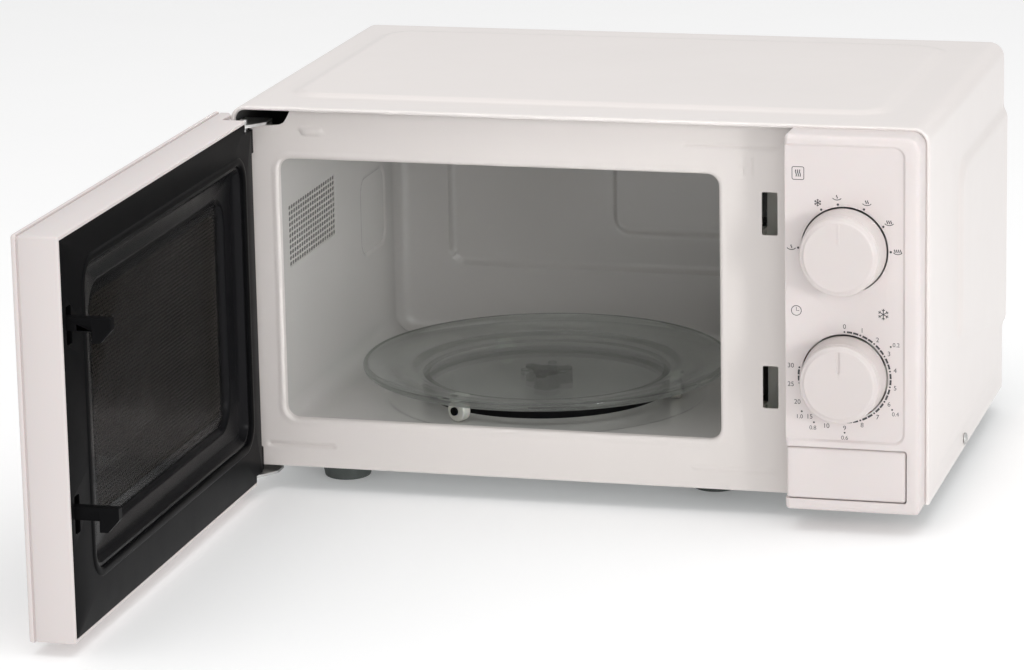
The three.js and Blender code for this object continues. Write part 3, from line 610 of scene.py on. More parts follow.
def chamber_shape():
    counts = {"along": (150, 95), "corner": 8}
    loops = []
    for grow, y in [(0.8, CHAMBER_BACK + 5.4), (0.8, 1.2)]:
        loops.append(standing(grown(CHAMBER, grow, CHAMBER_RADII, **counts), y))
    for grow, y in [(0.9, 1.2), (0.9, 4.5), (1.3, 5.4), (2.4, 5.9)]:
        loops.append(standing(grown(OPENING, grow, 8, **counts), y))
    for inset, y in [(1.4, 6.1), (0.4, 6.6), (0.0, 7.6)]:
        loops.append(standing(grown(CHAMBER, -inset, CHAMBER_RADII, **counts), y))
    section = grown(CHAMBER, 0, CHAMBER_RADII, **counts)
    for y in spread_out(10, CHAMBER_BACK - 10, 128):
        row = []
        for x, z in section:
            row.append((x + wall_press(x, y, z), y, z + floor_press(x, y, z)))
        loops.append(row)
    for step in range(1, 8):
        angle = math.pi / 2 * step / 8
        inset = 10 * (1 - math.cos(angle))
        y = CHAMBER_BACK - 10 + 10 * math.sin(angle)
        loops.append(standing(grown(CHAMBER, -inset, CHAMBER_RADII, **counts), y))
    wall = grown(CHAMBER, -10, CHAMBER_RADII, **counts)
    middle = (CHAMBER[2] + CHAMBER[3]) / 2
    centre = rounded_loop(119, 226.5, middle, middle, 0, **counts)
    inner = [wall, *between(wall, centre, 40), centre]
    loops += [standing(loop, CHAMBER_BACK, back_press) for loop in inner]
    outer_centre = [(x, CHAMBER_BACK + 5.4, z) for x, z in centre]
    return loft([outer_centre, *loops])


def punched_field(u0, u1, v0, v1, columns, rows, half_u, half_v):
    """A flat field of rectangular cells, each with a long rounded hole, as (u, v) points and faces."""
    points, faces = [], []
    du, dv = (u1 - u0) / columns, (v1 - v0) / rows
    rim = [(-1, -1), (0, -1), (1, -1), (1, 0), (1, 1), (0, 1), (-1, 1), (-1, 0)]
    for column in range(columns):
        for row in range(rows):
            u, v = u0 + du * (column + 0.5), v0 + dv * (row + 0.5)
            base = len(points)
            points += [(u + a * du / 2, v + b * dv / 2) for a, b in rim]
            for a, b in rim:
                shrink = 0.75 if a and b else 1.0
                points.append((u + a * half_u * shrink, v + b * half_v * (0.8 if a and b else 1.0)))
            for i in range(8):
                j = (i + 1) % 8
                faces.append((base + i, base + j, base + 8 + j, base + 8 + i))
    return points, faces


chamber_enamel = skin_finish(
    "chamber_enamel", (0.62, 0.605, 0.585), 0.24, tone=0.05, spread=0.05, grain=600.0, depth=0.00001,
    Coat_Weight=0.4, Coat_Roughness=0.1,
)
chamber = make_piece("chamber_walls", chamber_shape(), chamber_enamel, "cabinet",
                     stands_for=["chamber_liner"])
shaft_ring = [
    (AXIS_X + 8 * math.cos(a), AXIS_Y + 8 * math.sin(a)) for a in spread_out(0, 2 * math.pi, 32)[:-1]
]
shaft_hole = loft([[(x, y, z) for x, y in shaft_ring] for z in (15, 25)], caps=(True, True))
y0, y1, z0, z1 = AIR_FIELD
air_window = box_shape(20, 27, y0, y1, z0, z1)
y0, y1, z0, z1 = LAMP_FIELD
lamp_window = box_shape(318, 325, y0, y1, z0, z1)
feed_window = box_shape(318, 325, 124, 196, 92, 128)
cut_away(chamber, [shaft_hole, air_window, lamp_window, feed_window])
for name, x, field, columns, rows in [
    ("air_holes", CHAMBER[0] - 0.4, AIR_FIELD, 20, 11),
    ("lamp_holes", CHAMBER[1] + 0.4, LAMP_FIELD, 9, 9),
]:
    points, faces = punched_field(*field, columns, rows, 1.85, 1.4)
    holes = make_piece(name, ([(x, u, v) for u, v in points], faces), chamber_enamel, "cabinet")
    thicken(holes, PUNCHED_SHEET, 0.0)

# ----------------------------------------
# Glass turntable: a pressed clear glass plate with a raised rim, a nylon coupler that turns it,
# and a black ring whose three nylon rollers run on the chamber floor.
SPOKES = 144


def turned(profile, place, segments=SPOKES):
    """A closed profile of (radius, height) turned about an axis."""
    loops = []
    for radius, height in profile:
        loop = []
        for step in range(segments):
            angle = 2 * math.pi * step / segments
            loop.append(place(radius * math.cos(angle), radius * math.sin(angle), height))
        loops.append(loop)
    return loft(loops, around=True)


def rounded_profile(corners, radius, steps=5):
    """A closed profile with its corners rounded, by a radius where the sides leave room."""
    profile = []
    for index, corner in enumerate(corners):
        here = Vector(corner[:2])
        r = corner[2] if len(corner) > 2 else radius
        before = Vector(corners[index - 1][:2]) - here
        after = Vector(corners[(index + 1) % len(corners)][:2]) - here
        reach = min(r, before.length * 0.45, after.length * 0.45)
        if reach < 0.02:
            profile.append((here.x, here.y))
            continue
        start, end = here + before.normalized() * reach, here + after.normalized() * reach
        for step in range(steps + 1):
            t = step / steps
            point = start * (1 - t) ** 2 + here * 2 * t * (1 - t) + end * t**2
            profile.append((point.x, point.y))
    return profile


def about_turntable(a, b, height):
    return (AXIS_X + a, AXIS_Y + b, height)


low, high, middle = box_in_cabinet("glass_plate")
PLATE_RADIUS = high.x - middle.x
PLATE_UNDER = 37.1
LUG_RADIUS = 15
dish = [(0, 0, 0), (95, 0, 8), (110, 2.4, 8), (PLATE_RADIUS - 1.6, 5.2, 2), (PLATE_RADIUS, 6.8, 1.4)]
dish += [(PLATE_RADIUS, 9.6, 1.6), (PLATE_RADIUS - 1.6, 11, 1.6), (PLATE_RADIUS - 4, 9.6, 2)]
dish += [(108, 6.4, 6), (91, 5.8, 3), (85.5, 4.0, 3), (0, 4, 0)]
dish = [(r, z + PLATE_UNDER) for r, z in rounded_profile(dish, 2)]
lug = [(0, -4), (2.4, -4), (3, -3.2), (3, 0.6), (0, 0.6)]
lug = [(r, z + PLATE_UNDER) for r, z in lug]
plate_shapes = [turned(dish, about_turntable)]
for step in range(3):
    angle = math.pi / 2 + 2 * math.pi * step / 3
    lug_x, lug_y = LUG_RADIUS * math.cos(angle), LUG_RADIUS * math.sin(angle)
    plate_shapes.append(turned(lug, lambda a, b, h: about_turntable(a + lug_x, b + lug_y, h), 20))
clear_glass = skin_finish(
    "clear_glass", (0.90, 0.93, 0.92), 0.04, tone=0.03, spread=0.05, grain=60.0, depth=0.00001,
    Transmission_Weight=1.0, IOR=1.47,
)
let_light_through(clear_glass, (0.90, 0.92, 0.91), 0.4)
make_piece("turntable_plate", join_shapes(plate_shapes), clear_glass, "plate",
           stands_for=["glass_plate"])

white_nylon = skin_finish(
    "white_nylon", (0.70, 0.69, 0.64), 0.42, tone=0.1, grain=700.0, Subsurface_Weight=0.1,
    Subsurface_Scale=0.002,
)
black_moulding = skin_finish(
    "black_moulding", (0.006, 0.006, 0.0065), 0.32, tone=0.2, spread=0.14, grain=1100.0, depth=0.00004,
    Specular_IOR_Level=0.5, IOR=1.09,
)
ROLLER_Z = 29.55
ROLLER_TRACK = 87.5
ring_profile = [(78.5, -2.4), (83, -2.4), (83, 2.4), (78.5, 2.4)]
ring_profile = [(r, z + ROLLER_Z) for r, z in rounded_profile(ring_profile, 0.9)]
ring_shapes = [turned(ring_profile, about_turntable)]
wheel = [(2.0, -3.5), (4.6, -3.5), (4.8, -3.0), (5.8, -3.0), (6.0, -3.5), (6.6, -3.5, 0.6)]
wheel += [(7.2, -2.9, 0.4), (7.2, 2.9, 0.4), (6.6, 3.5, 0.6), (2.0, 3.5)]
axle = [(0, -7), (1.6, -7), (1.6, 4.0), (2.8, 4.0), (2.8, 5.7), (0, 5.7)]
for step in range(3):
    angle = math.radians(3.4 + 120 * step)
    out_x, out_y = math.cos(angle), math.sin(angle)

    def on_spoke(a, b, height):
        reach = ROLLER_TRACK + height
        return (AXIS_X + out_x * reach - out_y * a, AXIS_Y + out_y * reach + out_x * a, ROLLER_Z + b)

    make_piece(f"wheel_{step + 1}", turned(rounded_profile(wheel, 0.3, 3), on_spoke, 64), white_nylon,
               f"wheel_{step + 1}", stands_for=[f"roller_{step + 1}"])
    ring_shapes.append(turned(rounded_profile(axle, 0.3, 3), on_spoke, 32))
make_piece("turntable_ring", join_shapes(ring_shapes), black_moulding, "ring",
           stands_for=["roller_ring"])

# ----------------------------------------
# The control panel is one white moulding, clipped and screwed to the front. Its face is set back
# a little inside a rim, with two round holes for the dials and an opening for the door button.
PANEL = (364.4, 449.1, -1.5, 237.8)
PANEL_FRONT = -29.6
DIAL_X, POWER_Z, TIMER_Z = 402.0, 166.0, 85.3
BUTTON = (365.4, 440.6, 6.2, 39.2)


def round_loop(x, z, radius, segments=96):
    angles = [2 * math.pi * i / segments for i in range(segments)]
    return [(x + radius * math.cos(a), z + radius * math.sin(a)) for a in angles]


def soften(piece, width, crease=35, segments=3):
    edge = piece.modifiers.new("edges", "BEVEL")
    edge.width = width * MM
    edge.segments = segments
    edge.limit_method = "ANGLE"
    edge.angle_limit = math.radians(40)
    settle(piece, crease)


def panel_shape():
    section = [(3.0, 0.0), (1.7, 0.25), (0.75, 0.85), (0.2, 1.8), (0.0, 3.0), (0.0, 26.4), (0.8, 29.0)]
    section += [(2.4, 29.0), (2.4, 2.4), (8.0, 2.4)]
    return loft(stacked(PANEL, (3, 3, 9, 3), section, PANEL_FRONT, along=(24, 60)), caps=(True, True))


white_moulding = skin_finish(
    "white_moulding", (0.72, 0.66, 0.647), 0.40, tone=0.05, spread=0.1, grain=1300.0, depth=0.00004,
    Subsurface_Weight=0.05, Subsurface_Scale=0.001,
)
panel = make_piece("panel_moulding", panel_shape(), white_moulding, "cabinet",
                   stands_for=["control_panel"])
face_low = rounded_loop(PANEL[0] - 4, 438.6, 44.8, 230.7, (1, 6, 6, 1), along=(24, 40), corner=8)
face_high = rounded_loop(PANEL[0] - 4, 441.0, 42.4, 233.1, (1, 8, 8, 1), along=(24, 40), corner=8)
face_cut = loft([standing(face_low, PANEL_FRONT + 1.4), standing(face_high, PANEL_FRONT - 1)],
                caps=(True, True))
holes = [bar(round_loop(DIAL_X, z, 27.4), PANEL_FRONT - 2, PANEL_FRONT + 5) for z in (POWER_Z, TIMER_Z)]
button_hole = bar(rounded_loop(PANEL[0] - 2, BUTTON[1] + 0.7, BUTTON[2] - 0.35, BUTTON[3] + 0.7,
                               (0.2, 2, 2, 0.2), along=(4, 4), corner=6), PANEL_FRONT - 2, PANEL_FRONT + 5)
button_side = box_shape(PANEL[0] - 1, PANEL[0] + 3, PANEL_FRONT + 4, PANEL_FRONT + 18, BUTTON[2] - 0.35,
                        BUTTON[3] + 0.7)
cut_away(panel, [face_cut])
cut_away(panel, [*holes, button_hole])
cut_away(panel, [button_side])
soften(panel, 0.35)

# ----------------------------------------
# Two dial knobs, moulded in the same white plastic as the panel but coloured darker than it, a painted shade.
# Each flares a little towards the panel, has a fine ridge round its front, and carries a pointer: raised on
# the upper, sunk on the lower.
KNOB_FACE = PANEL_FRONT - 19.4
# The knobs' colour is the panel's white made darker: painted shade.
dial_moulding = skin_finish(
    "dial_moulding", (0.63, 0.575, 0.56), 0.42, tone=0.05, spread=0.1, grain=1300.0, depth=0.00004,
    Subsurface_Weight=0.05, Subsurface_Scale=0.001,
)
knob = [(0, 0, 0), (21.5, 0, 0.8), (22.6, 0.7, 0.8), (24.6, 1.1, 1.0), (24.9, 4.0, 0.3), (25.3, 4.3, 0.2)]
knob += [(25.3, 4.9, 0.2), (25.0, 5.2, 0.3), (26.0, 14.0, 1), (26.6, 20.0, 0.4), (24.2, 20.0, 0.4)]
knob += [(23.2, 2.6, 0.6), (6.0, 2.6, 0.5), (6.0, 19.0, 0.3), (3.4, 19.0, 0.3), (3.4, 6.0, 0.2), (0, 6.0, 0)]
for name, body, z in [("power_knob", "power_dial", POWER_Z), ("timer_knob", "timer_dial", TIMER_Z)]:
    shape = turned(rounded_profile(knob, 0.5, 4), lambda a, b, h: (DIAL_X + a, KNOB_FACE + h, z + b), 160)
    knob_piece = make_piece(name + "_moulding", shape, dial_moulding, body, stands_for=[name],
                            crease=30)
    line = rounded_loop(DIAL_X - 1.0, DIAL_X + 1.0, z + 7.5, z + 21, 0.99, along=(3, 12), corner=6)
    if name == "timer_knob":
        cut_away(knob_piece, [bar(line, KNOB_FACE - 1, KNOB_FACE + 0.8)])
        soften(knob_piece, 0.2, 30)
    else:
        small = rounded_loop(DIAL_X - 0.5, DIAL_X + 0.5, z + 8, z + 20.5, 0.49, along=(3, 12), corner=6)
        ridge = loft([standing(line, KNOB_FACE + 0.2), standing(line, KNOB_FACE - 0.2),
                      standing(small, KNOB_FACE - 0.3)], caps=(True, True))
        make_piece("power_pointer", ridge, dial_moulding, body)

# ----------------------------------------
# The wide door button is a hollow white cap. Behind it are a plunger, a spring and the lever
# that lifts the hooks.
cap = [(4.0, 0.0), (1.6, 0.05), (0.8, 0.3), (0.25, 0.9), (0.0, 1.8), (0.0, 11.0), (2.4, 11.0), (2.4, 2.6)]
CAP_FRONT = PANEL_FRONT + 0.3
cap_loops = [
    standing(grown(BUTTON, -inset, 1.8 if inset < 3 else 5, along=(24, 12), corner=6), CAP_FRONT + y)
    for inset, y in cap
]
make_piece("button_cap", loft(cap_loops, caps=(True, True)), white_moulding, "button",
           stands_for=["door_button"])
plunger = box_shape(BUTTON[0] + 6, BUTTON[0] + 12, PANEL_FRONT + 2.6, PANEL_FRONT + 19, 26, 30)
plunger_piece = make_piece("button_plunger", plunger, white_moulding, "button")
soften(plunger_piece, 0.4)

# ----------------------------------------
# The door's outer shell is a white moulding: a thin front bezel round the window, a groove, and
# the deeper main wall behind it. Its heel is bevelled so that it clears the cabinet as it turns.
DOOR = (0.0, 361.4, -8.5, 234.0)
DOOR_FRONT = -30.0
WINDOW = (44.0, 324.0, 32.0, 206.0)
HINGE_X, HINGE_Y = 9.0, -7.5


def in_door(x, y, z):
    """A point of the shut door, in cabinet coordinates, carried to where the open door stands."""
    return in_cabinet(HINGE_X + (y - HINGE_Y), HINGE_Y - (x - HINGE_X), z)


def shell_shape():
    counts = {"along": (60, 44)}
    corners = 2.2
    rim = [(4, -27.4), (0, -27.4), (0, -29.5), (-0.15, -29.85), (-0.5, -30)]
    loops = stacked(WINDOW, 10, rim, **counts)
    window = grown(WINDOW, 0.5, 10, **counts)
    face = grown(DOOR, -1.6, corners, **counts)
    loops += [standing(loop, DOOR_FRONT) for loop in between(window, face, 10)]
    walls = [(1.6, -30), (0.8, -29.85), (0.25, -29.4), (0, -28.6), (0, -27.3), (0.2, -27.0), (1.6, -26.9)]
    walls += [(1.6, -25.9), (0.9, -25.7), (0.6, -25.2), (0.6, -3.0), (0.75, -2.2), (1.2, -1.7), (2.0, -1.6)]
    walls += [(2.9, -1.6), (3.2, -1.9), (3.2, -27.4)]
    loops += stacked(DOOR, corners, walls, **counts)
    return loft(loops, around=True)


def heel_cut():
    section = [(-3, -20.5), (0, -20.5), (12, -14.5), (12, 2), (-3, 2)]
    return loft([[(x, y, z) for x, y in section] for z in (-12, 238)], caps=(True, True))


def hinge_cuts(y0, reach):
    low = box_shape(-4, 25 + reach, y0, 2, -14, -1.6 + reach)
    high = box_shape(-4, 25 + reach, y0, 2, 225 - reach, 240)
    return [low, high]


shell = make_piece("door_moulding", shell_shape(), white_moulding, "door", in_door,
                   stands_for=["door_shell"])
for shape in (heel_cut(), *hinge_cuts(-16.5, 0)):
    cut_away(shell, [shape], in_door)

# ----------------------------------------
# The door's window: a dark tinted glass pane in front, then an enamelled steel frame whose sunk
# middle holds a punched steel screen, and a clear film over the screen.
SIGHT = (62.0, 286.0, 50.0, 180.0)
SCREEN_Y = -12.3
GLASS = (37.0, 331.0, 25.0, 213.0)
tinted = skin_finish(
    "tinted_glass", (0.02, 0.02, 0.022), 0.03, tone=0.05, spread=0.03, grain=50.0, depth=0.000005,
    Transmission_Weight=1.0, IOR=1.2,
)
let_light_through(tinted, (0.12, 0.12, 0.125))
pane = [(1.0, -27.25), (0.35, -27.05), (0, -26.5), (0, -25.0), (0.35, -24.45), (1.0, -24.25)]
pane_loops = stacked(GLASS, 12, pane, along=(20, 14), corner=10)
make_piece("window_pane", loft(pane_loops, caps=(True, True)), tinted, "door", in_door,
           stands_for=["door_glass"])

black_enamel = skin_finish(
    "black_enamel", (0.007, 0.007, 0.008), 0.22, tone=0.15, spread=0.14, grain=650.0, depth=0.00003,
    Specular_IOR_Level=0.5, IOR=1.18,
)


def screen_shape():
    """Hexagonal cells, each with a round hole."""
    pitch, hole = 2.8, 1.02
    points, faces = [], []
    rows = int((SIGHT[3] - SIGHT[2] + 8) / (pitch * 0.866))
    columns = int((SIGHT[1] - SIGHT[0] + 8) / pitch)
    for row in range(rows):
        for column in range(columns):
            x = SIGHT[0] - 3 + pitch * (column + (0.5 if row % 2 else 0))
            z = SIGHT[2] - 3 + pitch * 0.866 * row
            base = len(points)
            for i in range(12):
                angle = math.radians(30 * i)
                corner = pitch / math.sqrt(3) * (1.0 if i % 2 else math.cos(math.radians(30)))
                points.append((x + corner * math.cos(angle), SCREEN_Y, z + corner * math.sin(angle)))
            for i in range(12):
                angle = math.radians(30 * i)
                points.append((x + hole * math.cos(angle), SCREEN_Y, z + hole * math.sin(angle)))
            for i in range(12):
                j = (i + 1) % 12
                faces.append((base + i, base + j, base + 12 + j, base + 12 + i))
    return points, faces


screen_enamel = skin_finish(
    "screen_enamel", (0.03, 0.026, 0.022), 0.4, tone=0.1, spread=0.1, grain=650.0, depth=0.00002, IOR=1.15,
)
make_piece("punched_screen", screen_shape(), screen_enamel, "door", in_door, stands_for=["door_screen"])
border = [(1, 0.2), (5, 0.2), (5, -0.2), (1, -0.2)]
border_loops = [standing(grown(SIGHT, i, 8, along=(30, 20), corner=8), SCREEN_Y + y) for i, y in border]
make_piece("screen_border", loft(border_loops, around=True), black_enamel, "door", in_door)


def frame_shape():
    """A deep pressing: a rim that stands in the shell, a flat land, and two steps down to the screen."""
    land = (12.2, 358.65, -5.75, 231.25)
    well = (34.0, 320.0, 26.0, 206.0)
    section = [(SIGHT, 0, 8, -16.4), (SIGHT, 0, 8, -13.6), (SIGHT, -0.6, 8, -13.0), (SIGHT, -7.4, 8, -13.0)]
    section += [(SIGHT, -8.0, 8, -12.4), (SIGHT, -9.4, 8, -10.2), (SIGHT, -10.6, 8, -9.3)]
    section += [(SIGHT, -12.4, 8, -8.9), (well, 5.0, 12, -7.6), (well, 3.0, 12, -6.4), (well, 1.2, 12, -4.2)]
    section += [(well, 0.4, 12, -3.2), (well, -0.8, 12, -2.9), (land, 1.2, 2, -2.9), (land, 0.3, 2, -3.2)]
    section += [(land, 0, 2, -4.0), (land, 0, 2, -23.5), (land, 1.2, 2, -23.5), (land, 1.2, 2, -12.0)]
    section += [(SIGHT, -14, 10, -12.0), (SIGHT, -14, 10, -16.4)]
    return pressed([(box, -inset, r, y) for box, inset, r, y in section], along=(90, 60), corner=10)


deep_frame = make_piece("deep_frame", frame_shape(), black_enamel, "door", in_door,
                        stands_for=["door_frame"])
hook_bay = box_shape(342.6, 356.6, -30, 0, 46, 200)
for shape in (hook_bay, *hinge_cuts(-24, 0.5)):
    cut_away(deep_frame, [shape], in_door)
for low, high in ((-1.1, 14.0), (209.0, 224.4)):
    barrel = [(2.8, low), (5.5, low), (5.5, high), (2.8, high)]
    shape = turned(rounded_profile(barrel, 0.6, 3), lambda a, b, h: (HINGE_X + a, HINGE_Y + b, h), 40)
    make_piece(f"hinge_barrel_{int(high)}", shape, black_enamel, "door")

# ----------------------------------------
# Pieces that keep their drawn shape take a finish and softened edges: the clear film over the
# screen first.
DRAWN_GAP = 0.002


def give_finish(mesh, finish):
    """Gives a drawn mesh a finish, and takes off the shading it came with."""
    mesh.materials.clear()
    mesh.materials.append(finish)
    for attribute in ("custom_normal", "sharp_face"):
        if attribute in mesh.attributes:
            mesh.attributes.remove(mesh.attributes[attribute])


def dress(name, finish, width=0.35, segments=2):
    """Gives a drawn piece a finish and softened edges."""
    node = frame["nodes"][name]
    give_finish(node.data, finish)
    node.data.shade_smooth()
    weld = node.modifiers.new("weld", "WELD")
    weld.merge_threshold = DRAWN_GAP * MM
    edge = node.modifiers.new("edges", "BEVEL")
    edge.width = width * MM
    edge.segments = segments
    edge.limit_method = "ANGLE"
    edge.angle_limit = math.radians(32)
    edge.harden_normals = True


clear_film = skin_finish(
    "clear_film", (0.92, 0.93, 0.93), 0.08, tone=0.03, spread=0.04, grain=80.0, depth=0.000005,
    Transmission_Weight=1.0, IOR=1.05,
)
let_light_through(clear_film, (0.9, 0.9, 0.9), 0.85)
dress("screen_film", clear_film, 0.1, 1)

# ----------------------------------------
# The black inner cover of the door is a moulding that hides the choke. A low rounded rib runs
# round the window opening, and two slots let the hooks through.
def choke_shape():
    sheet = (12.6, 358.4, -5.5, 231.0)
    opening = (32.0, 322.0, 24.0, 208.0)
    section = [(opening, 0, 13, -2.7), (opening, 0, 13, -1.3), (opening, 0.35, 13, -0.9)]
    section += [(opening, 1.1, 13, -0.6), (opening, 2.5, 13, -0.5), (opening, 3.9, 13, -0.6)]
    section += [(opening, 4.7, 13, -0.9), (opening, 5.2, 13, -1.35), (sheet, -1.0, 3, -1.4)]
    section += [(sheet, -0.3, 3, -1.6), (sheet, 0, 3, -2.5), (opening, 0.8, 13, -2.7)]
    return pressed(section, along=(120, 80), corner=10)


choke = make_piece("choke_moulding", choke_shape(), black_moulding, "door", in_door,
                   stands_for=["choke_cover"])
hook_ways = [
    bar(rounded_loop(345, 353.4, z, z + 23, 1.5, along=(4, 4), corner=4), -9, 2) for z in (56, 168)
]
for shape in (*hook_ways, *hinge_cuts(-10, 0.6)):
    cut_away(choke, [shape], in_door)
dress("latch_plate", black_moulding, 0.6, 3)

# ----------------------------------------
# Feet of dark rubber, pressed into the base, wider at the cabinet than at the floor.
dark_rubber = skin_finish(
    "dark_rubber", (0.085, 0.095, 0.09), 0.75, tone=0.2, spread=0.12, grain=800.0, depth=0.00008,
)
FOOT_HEIGHT = -box_in_cabinet("foot_front_left")[0].z
foot = [(0, -FOOT_HEIGHT + 2.2), (6, -FOOT_HEIGHT + 2.2), (7, -FOOT_HEIGHT), (15, -FOOT_HEIGHT, 1.6)]
foot += [(18, -0.35, 1.0), (4.8, -0.35), (4.8, 1.5), (6.6, 1.8), (4, 4), (0, 4)]
for name in ("foot_front_left", "foot_front_right", "foot_rear_left", "foot_rear_right"):
    middle = box_in_cabinet(name)[2]
    shape = turned(rounded_profile(foot, 0.6, 4), lambda a, b, h: (middle.x + a, middle.y + b, h), 64)
    make_piece(name + "_pad", shape, dark_rubber, "cabinet", stands_for=[name])

# ----------------------------------------
# Screws with pan heads and cross slots, zinc plated, at the cover's sides and along the back.
def metal_group():
    """The tone and gloss of bare or plated sheet metal: spangle, fine rolling lines and handling."""
    group, given, out = new_group(
        "plated_metal",
        [
            ("Light", "NodeSocketColor", (0.6, 0.6, 0.6, 1)),
            ("Dark", "NodeSocketColor", (0.4, 0.4, 0.4, 1)),
            ("Roughness", "NodeSocketFloat", 0.35),
            ("Spangle", "NodeSocketFloat", 120.0),
        ],
        SURFACE_OUTPUTS,
    )
    place = group.nodes.new("ShaderNodeTexCoord").outputs["Object"]
    cells = group.nodes.new("ShaderNodeTexVoronoi")
    group.links.new(place, cells.inputs["Vector"])
    group.links.new(given.outputs["Spangle"], cells.inputs["Scale"])
    stretch = group.nodes.new("ShaderNodeMapping")
    stretch.inputs["Scale"].default_value = (1, 1, 60)
    group.links.new(place, stretch.inputs["Vector"])
    lines = noise_node(group, stretch.outputs["Vector"], 40.0, 4.0)
    grey = group.nodes.new("ShaderNodeRGBToBW")
    group.links.new(cells.outputs["Color"], grey.inputs["Color"])
    both = math_node(group, "MULTIPLY_ADD", lines, 0.5, math_node(group, "MULTIPLY", grey.outputs[0], 0.5))
    colour = mix_colours(group, both, given.outputs["Dark"], given.outputs["Light"])
    rough = math_node(group, "MULTIPLY_ADD", both, 0.18, given.outputs["Roughness"])
    give_surface(group, out, colour, rough, lines)
    return group


plated_metal = metal_group()


def metal_finish(name, light, dark, roughness, spangle, depth=0.00002):
    finish, tree, shader = new_finish(name)
    metal = place_group(
        tree, plated_metal, Light=(*light, 1), Dark=(*dark, 1), Roughness=roughness, Spangle=spangle
    )
    join_surface(tree, shader, metal, metal.outputs["Colour"], 0.5, depth)
    shader.inputs["Metallic"].default_value = 1.0
    return finish


zinc_sheet = metal_finish("zinc_sheet", (0.62, 0.64, 0.64), (0.42, 0.44, 0.44), 0.38, 90.0)
steel = metal_finish("steel", (0.66, 0.66, 0.65), (0.52, 0.52, 0.51), 0.28, 400.0)
pan_head = [(0, 0, 0), (2.2, 0.05, 1.5), (3.6, 0.7, 1.2), (4.0, 1.6, 0.3), (4.0, 1.85, 0.1), (1.9, 1.85, 0.1)]
pan_head += [(1.9, 10.0, 0.4), (0, 10.6, 0)]
screws = [("cover_screw_right", 0, 1), ("cover_screw_left", 0, -1)]
screws += [(f"rear_screw_{i}", 1, 1) for i in (1, 2, 3)]
for name, axis, side in screws:
    low, high, middle = box_in_cabinet(name)
    head = high if side > 0 else low

    def along_screw(a, b, h):
        if axis == 0:
            return (head.x - side * h, middle.y + a, middle.z + b)
        return (middle.x + a, head.y - side * h, middle.z + b)

    piece = make_piece(name + "_head", turned(rounded_profile(pan_head, 0.3, 4), along_screw, 40), steel,
                       "cabinet", stands_for=[name])
    cross = []
    for half_a, half_b in ((2.2, 0.42), (0.42, 2.2)):
        ring = [(-half_a, -half_b), (half_a, -half_b), (half_a, half_b), (-half_a, half_b)]
        arm = [[along_screw(a * s, b * s, h) for a, b in ring] for h, s in ((-0.5, 1.1), (1.2, 0.5))]
        cross.append(loft(arm, caps=(True, True)))
    for arm in cross:
        cut_away(piece, [arm])

# ----------------------------------------
# Back plate of galvanised sheet with rounded air slots, and the black strain relief of the cord.
BACK_Y = (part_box("rear_plate")[0].y - plate_low.y) / MM
CORD_X, CORD_Z = 428, 42
back_box = (SIDE_GAP, WIDTH - SIDE_GAP, 0.2, HEIGHT - SIDE_GAP)
back_section = [(0, 0.0), (0, 0.75), (0.3, 1.0)]
back_loops = stacked(back_box, (1, 1, 8.5, 8.5), back_section, BACK_Y, along=(40, 20))
back = make_piece("back_plate", loft(back_loops, caps=(True, True)), zinc_sheet, "cabinet",
                  stands_for=["rear_plate"])
slots = []
for row in range(8):
    for x in (352, 396):
        slots.append(rounded_loop(x, x + 38, 112 + 10 * row, 116 + 10 * row, 1.98, along=(4, 1), corner=6))
for row in range(9):
    slots.append(rounded_loop(60 + 12 * row, 65 + 12 * row, 180, 206, 2.48, along=(1, 4), corner=6))
slots.append(round_loop(CORD_X, CORD_Z, 8.4, 40))
slots += [round_loop(x, z, 2.3, 24) for x, z in ((14, 120), (438, 226), (230, 232))]
cut_away(back, [bar(slot, BACK_Y - 1, BACK_Y + 3) for slot in slots])
inlet_back = (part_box("cord_inlet")[1].y - plate_low.y) / MM - BACK_Y
inlet = [(3.6, -6), (10.6, -6), (10.6, -0.35), (8, -0.35), (8, 1.4), (11, 1.4), (11, 3.2, 1.2)]
inlet += [(9.5, inlet_back, 1.4), (5.2, inlet_back, 0.6), (3.6, inlet_back - 1.4)]
make_piece(
    "cord_grommet",
    turned(rounded_profile(inlet, 0.4, 4), lambda a, b, h: (CORD_X + a, BACK_Y + h, CORD_Z + b), 64),
    black_moulding, "cabinet", stands_for=["cord_inlet"],
)

# ----------------------------------------
# The base tray, hinge arms and the electrics inside the cabinet: galvanised sheet, steel, mica,
# copper windings, nylon mouldings, the fan, the interference filter's board and two springs.
mica = skin_finish("mica", (0.52, 0.47, 0.37), 0.5, tone=0.3, grain=200.0, depth=0.00005)
winding = metal_finish("winding", (0.62, 0.30, 0.13), (0.42, 0.18, 0.07), 0.35, 600.0)
lamp_glass = skin_finish("lamp_glass", (0.9, 0.9, 0.88), 0.08, tone=0.03, grain=90.0,
                         Transmission_Weight=0.8)
board = skin_finish("board", (0.25, 0.17, 0.07), 0.5, tone=0.25, grain=500.0, depth=0.00003)
kept = {
    "zinc": zinc_sheet, "steel": steel, "mica": mica, "winding": winding, "lamp_glass": lamp_glass,
    "board": board, "white_nylon": white_nylon, "black_plastic": black_moulding,
}


# Each spring's far end rests on a holder and its near end on the piece that squeezes it; here the coil is a
# steel copy of the drawn spring, left where it is drawn and not tied to either piece.
for name, holder, mover, axis in [
    ("button_spring", "cabinet", "button", 1), ("latch_spring", "door", "latch", 2),
]:
    node = frame["nodes"][name]
    mesh = node.data.copy()
    mesh.transform(node.matrix_world)
    give_finish(mesh, steel)
    work = bmesh.new()
    work.from_mesh(mesh)
    bmesh.ops.remove_doubles(work, verts=work.verts, dist=DRAWN_GAP * MM)
    work.to_mesh(mesh)
    work.free()
    shade(mesh, 40)
    coil = add_object(name.replace("_spring", "_coil"), mesh)
    low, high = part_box(name)
    held, squeezed = (low + high) / 2, (low + high) / 2
    held[axis], squeezed[axis] = high[axis], low[axis]
    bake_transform(coil)
    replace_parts(coil, name)

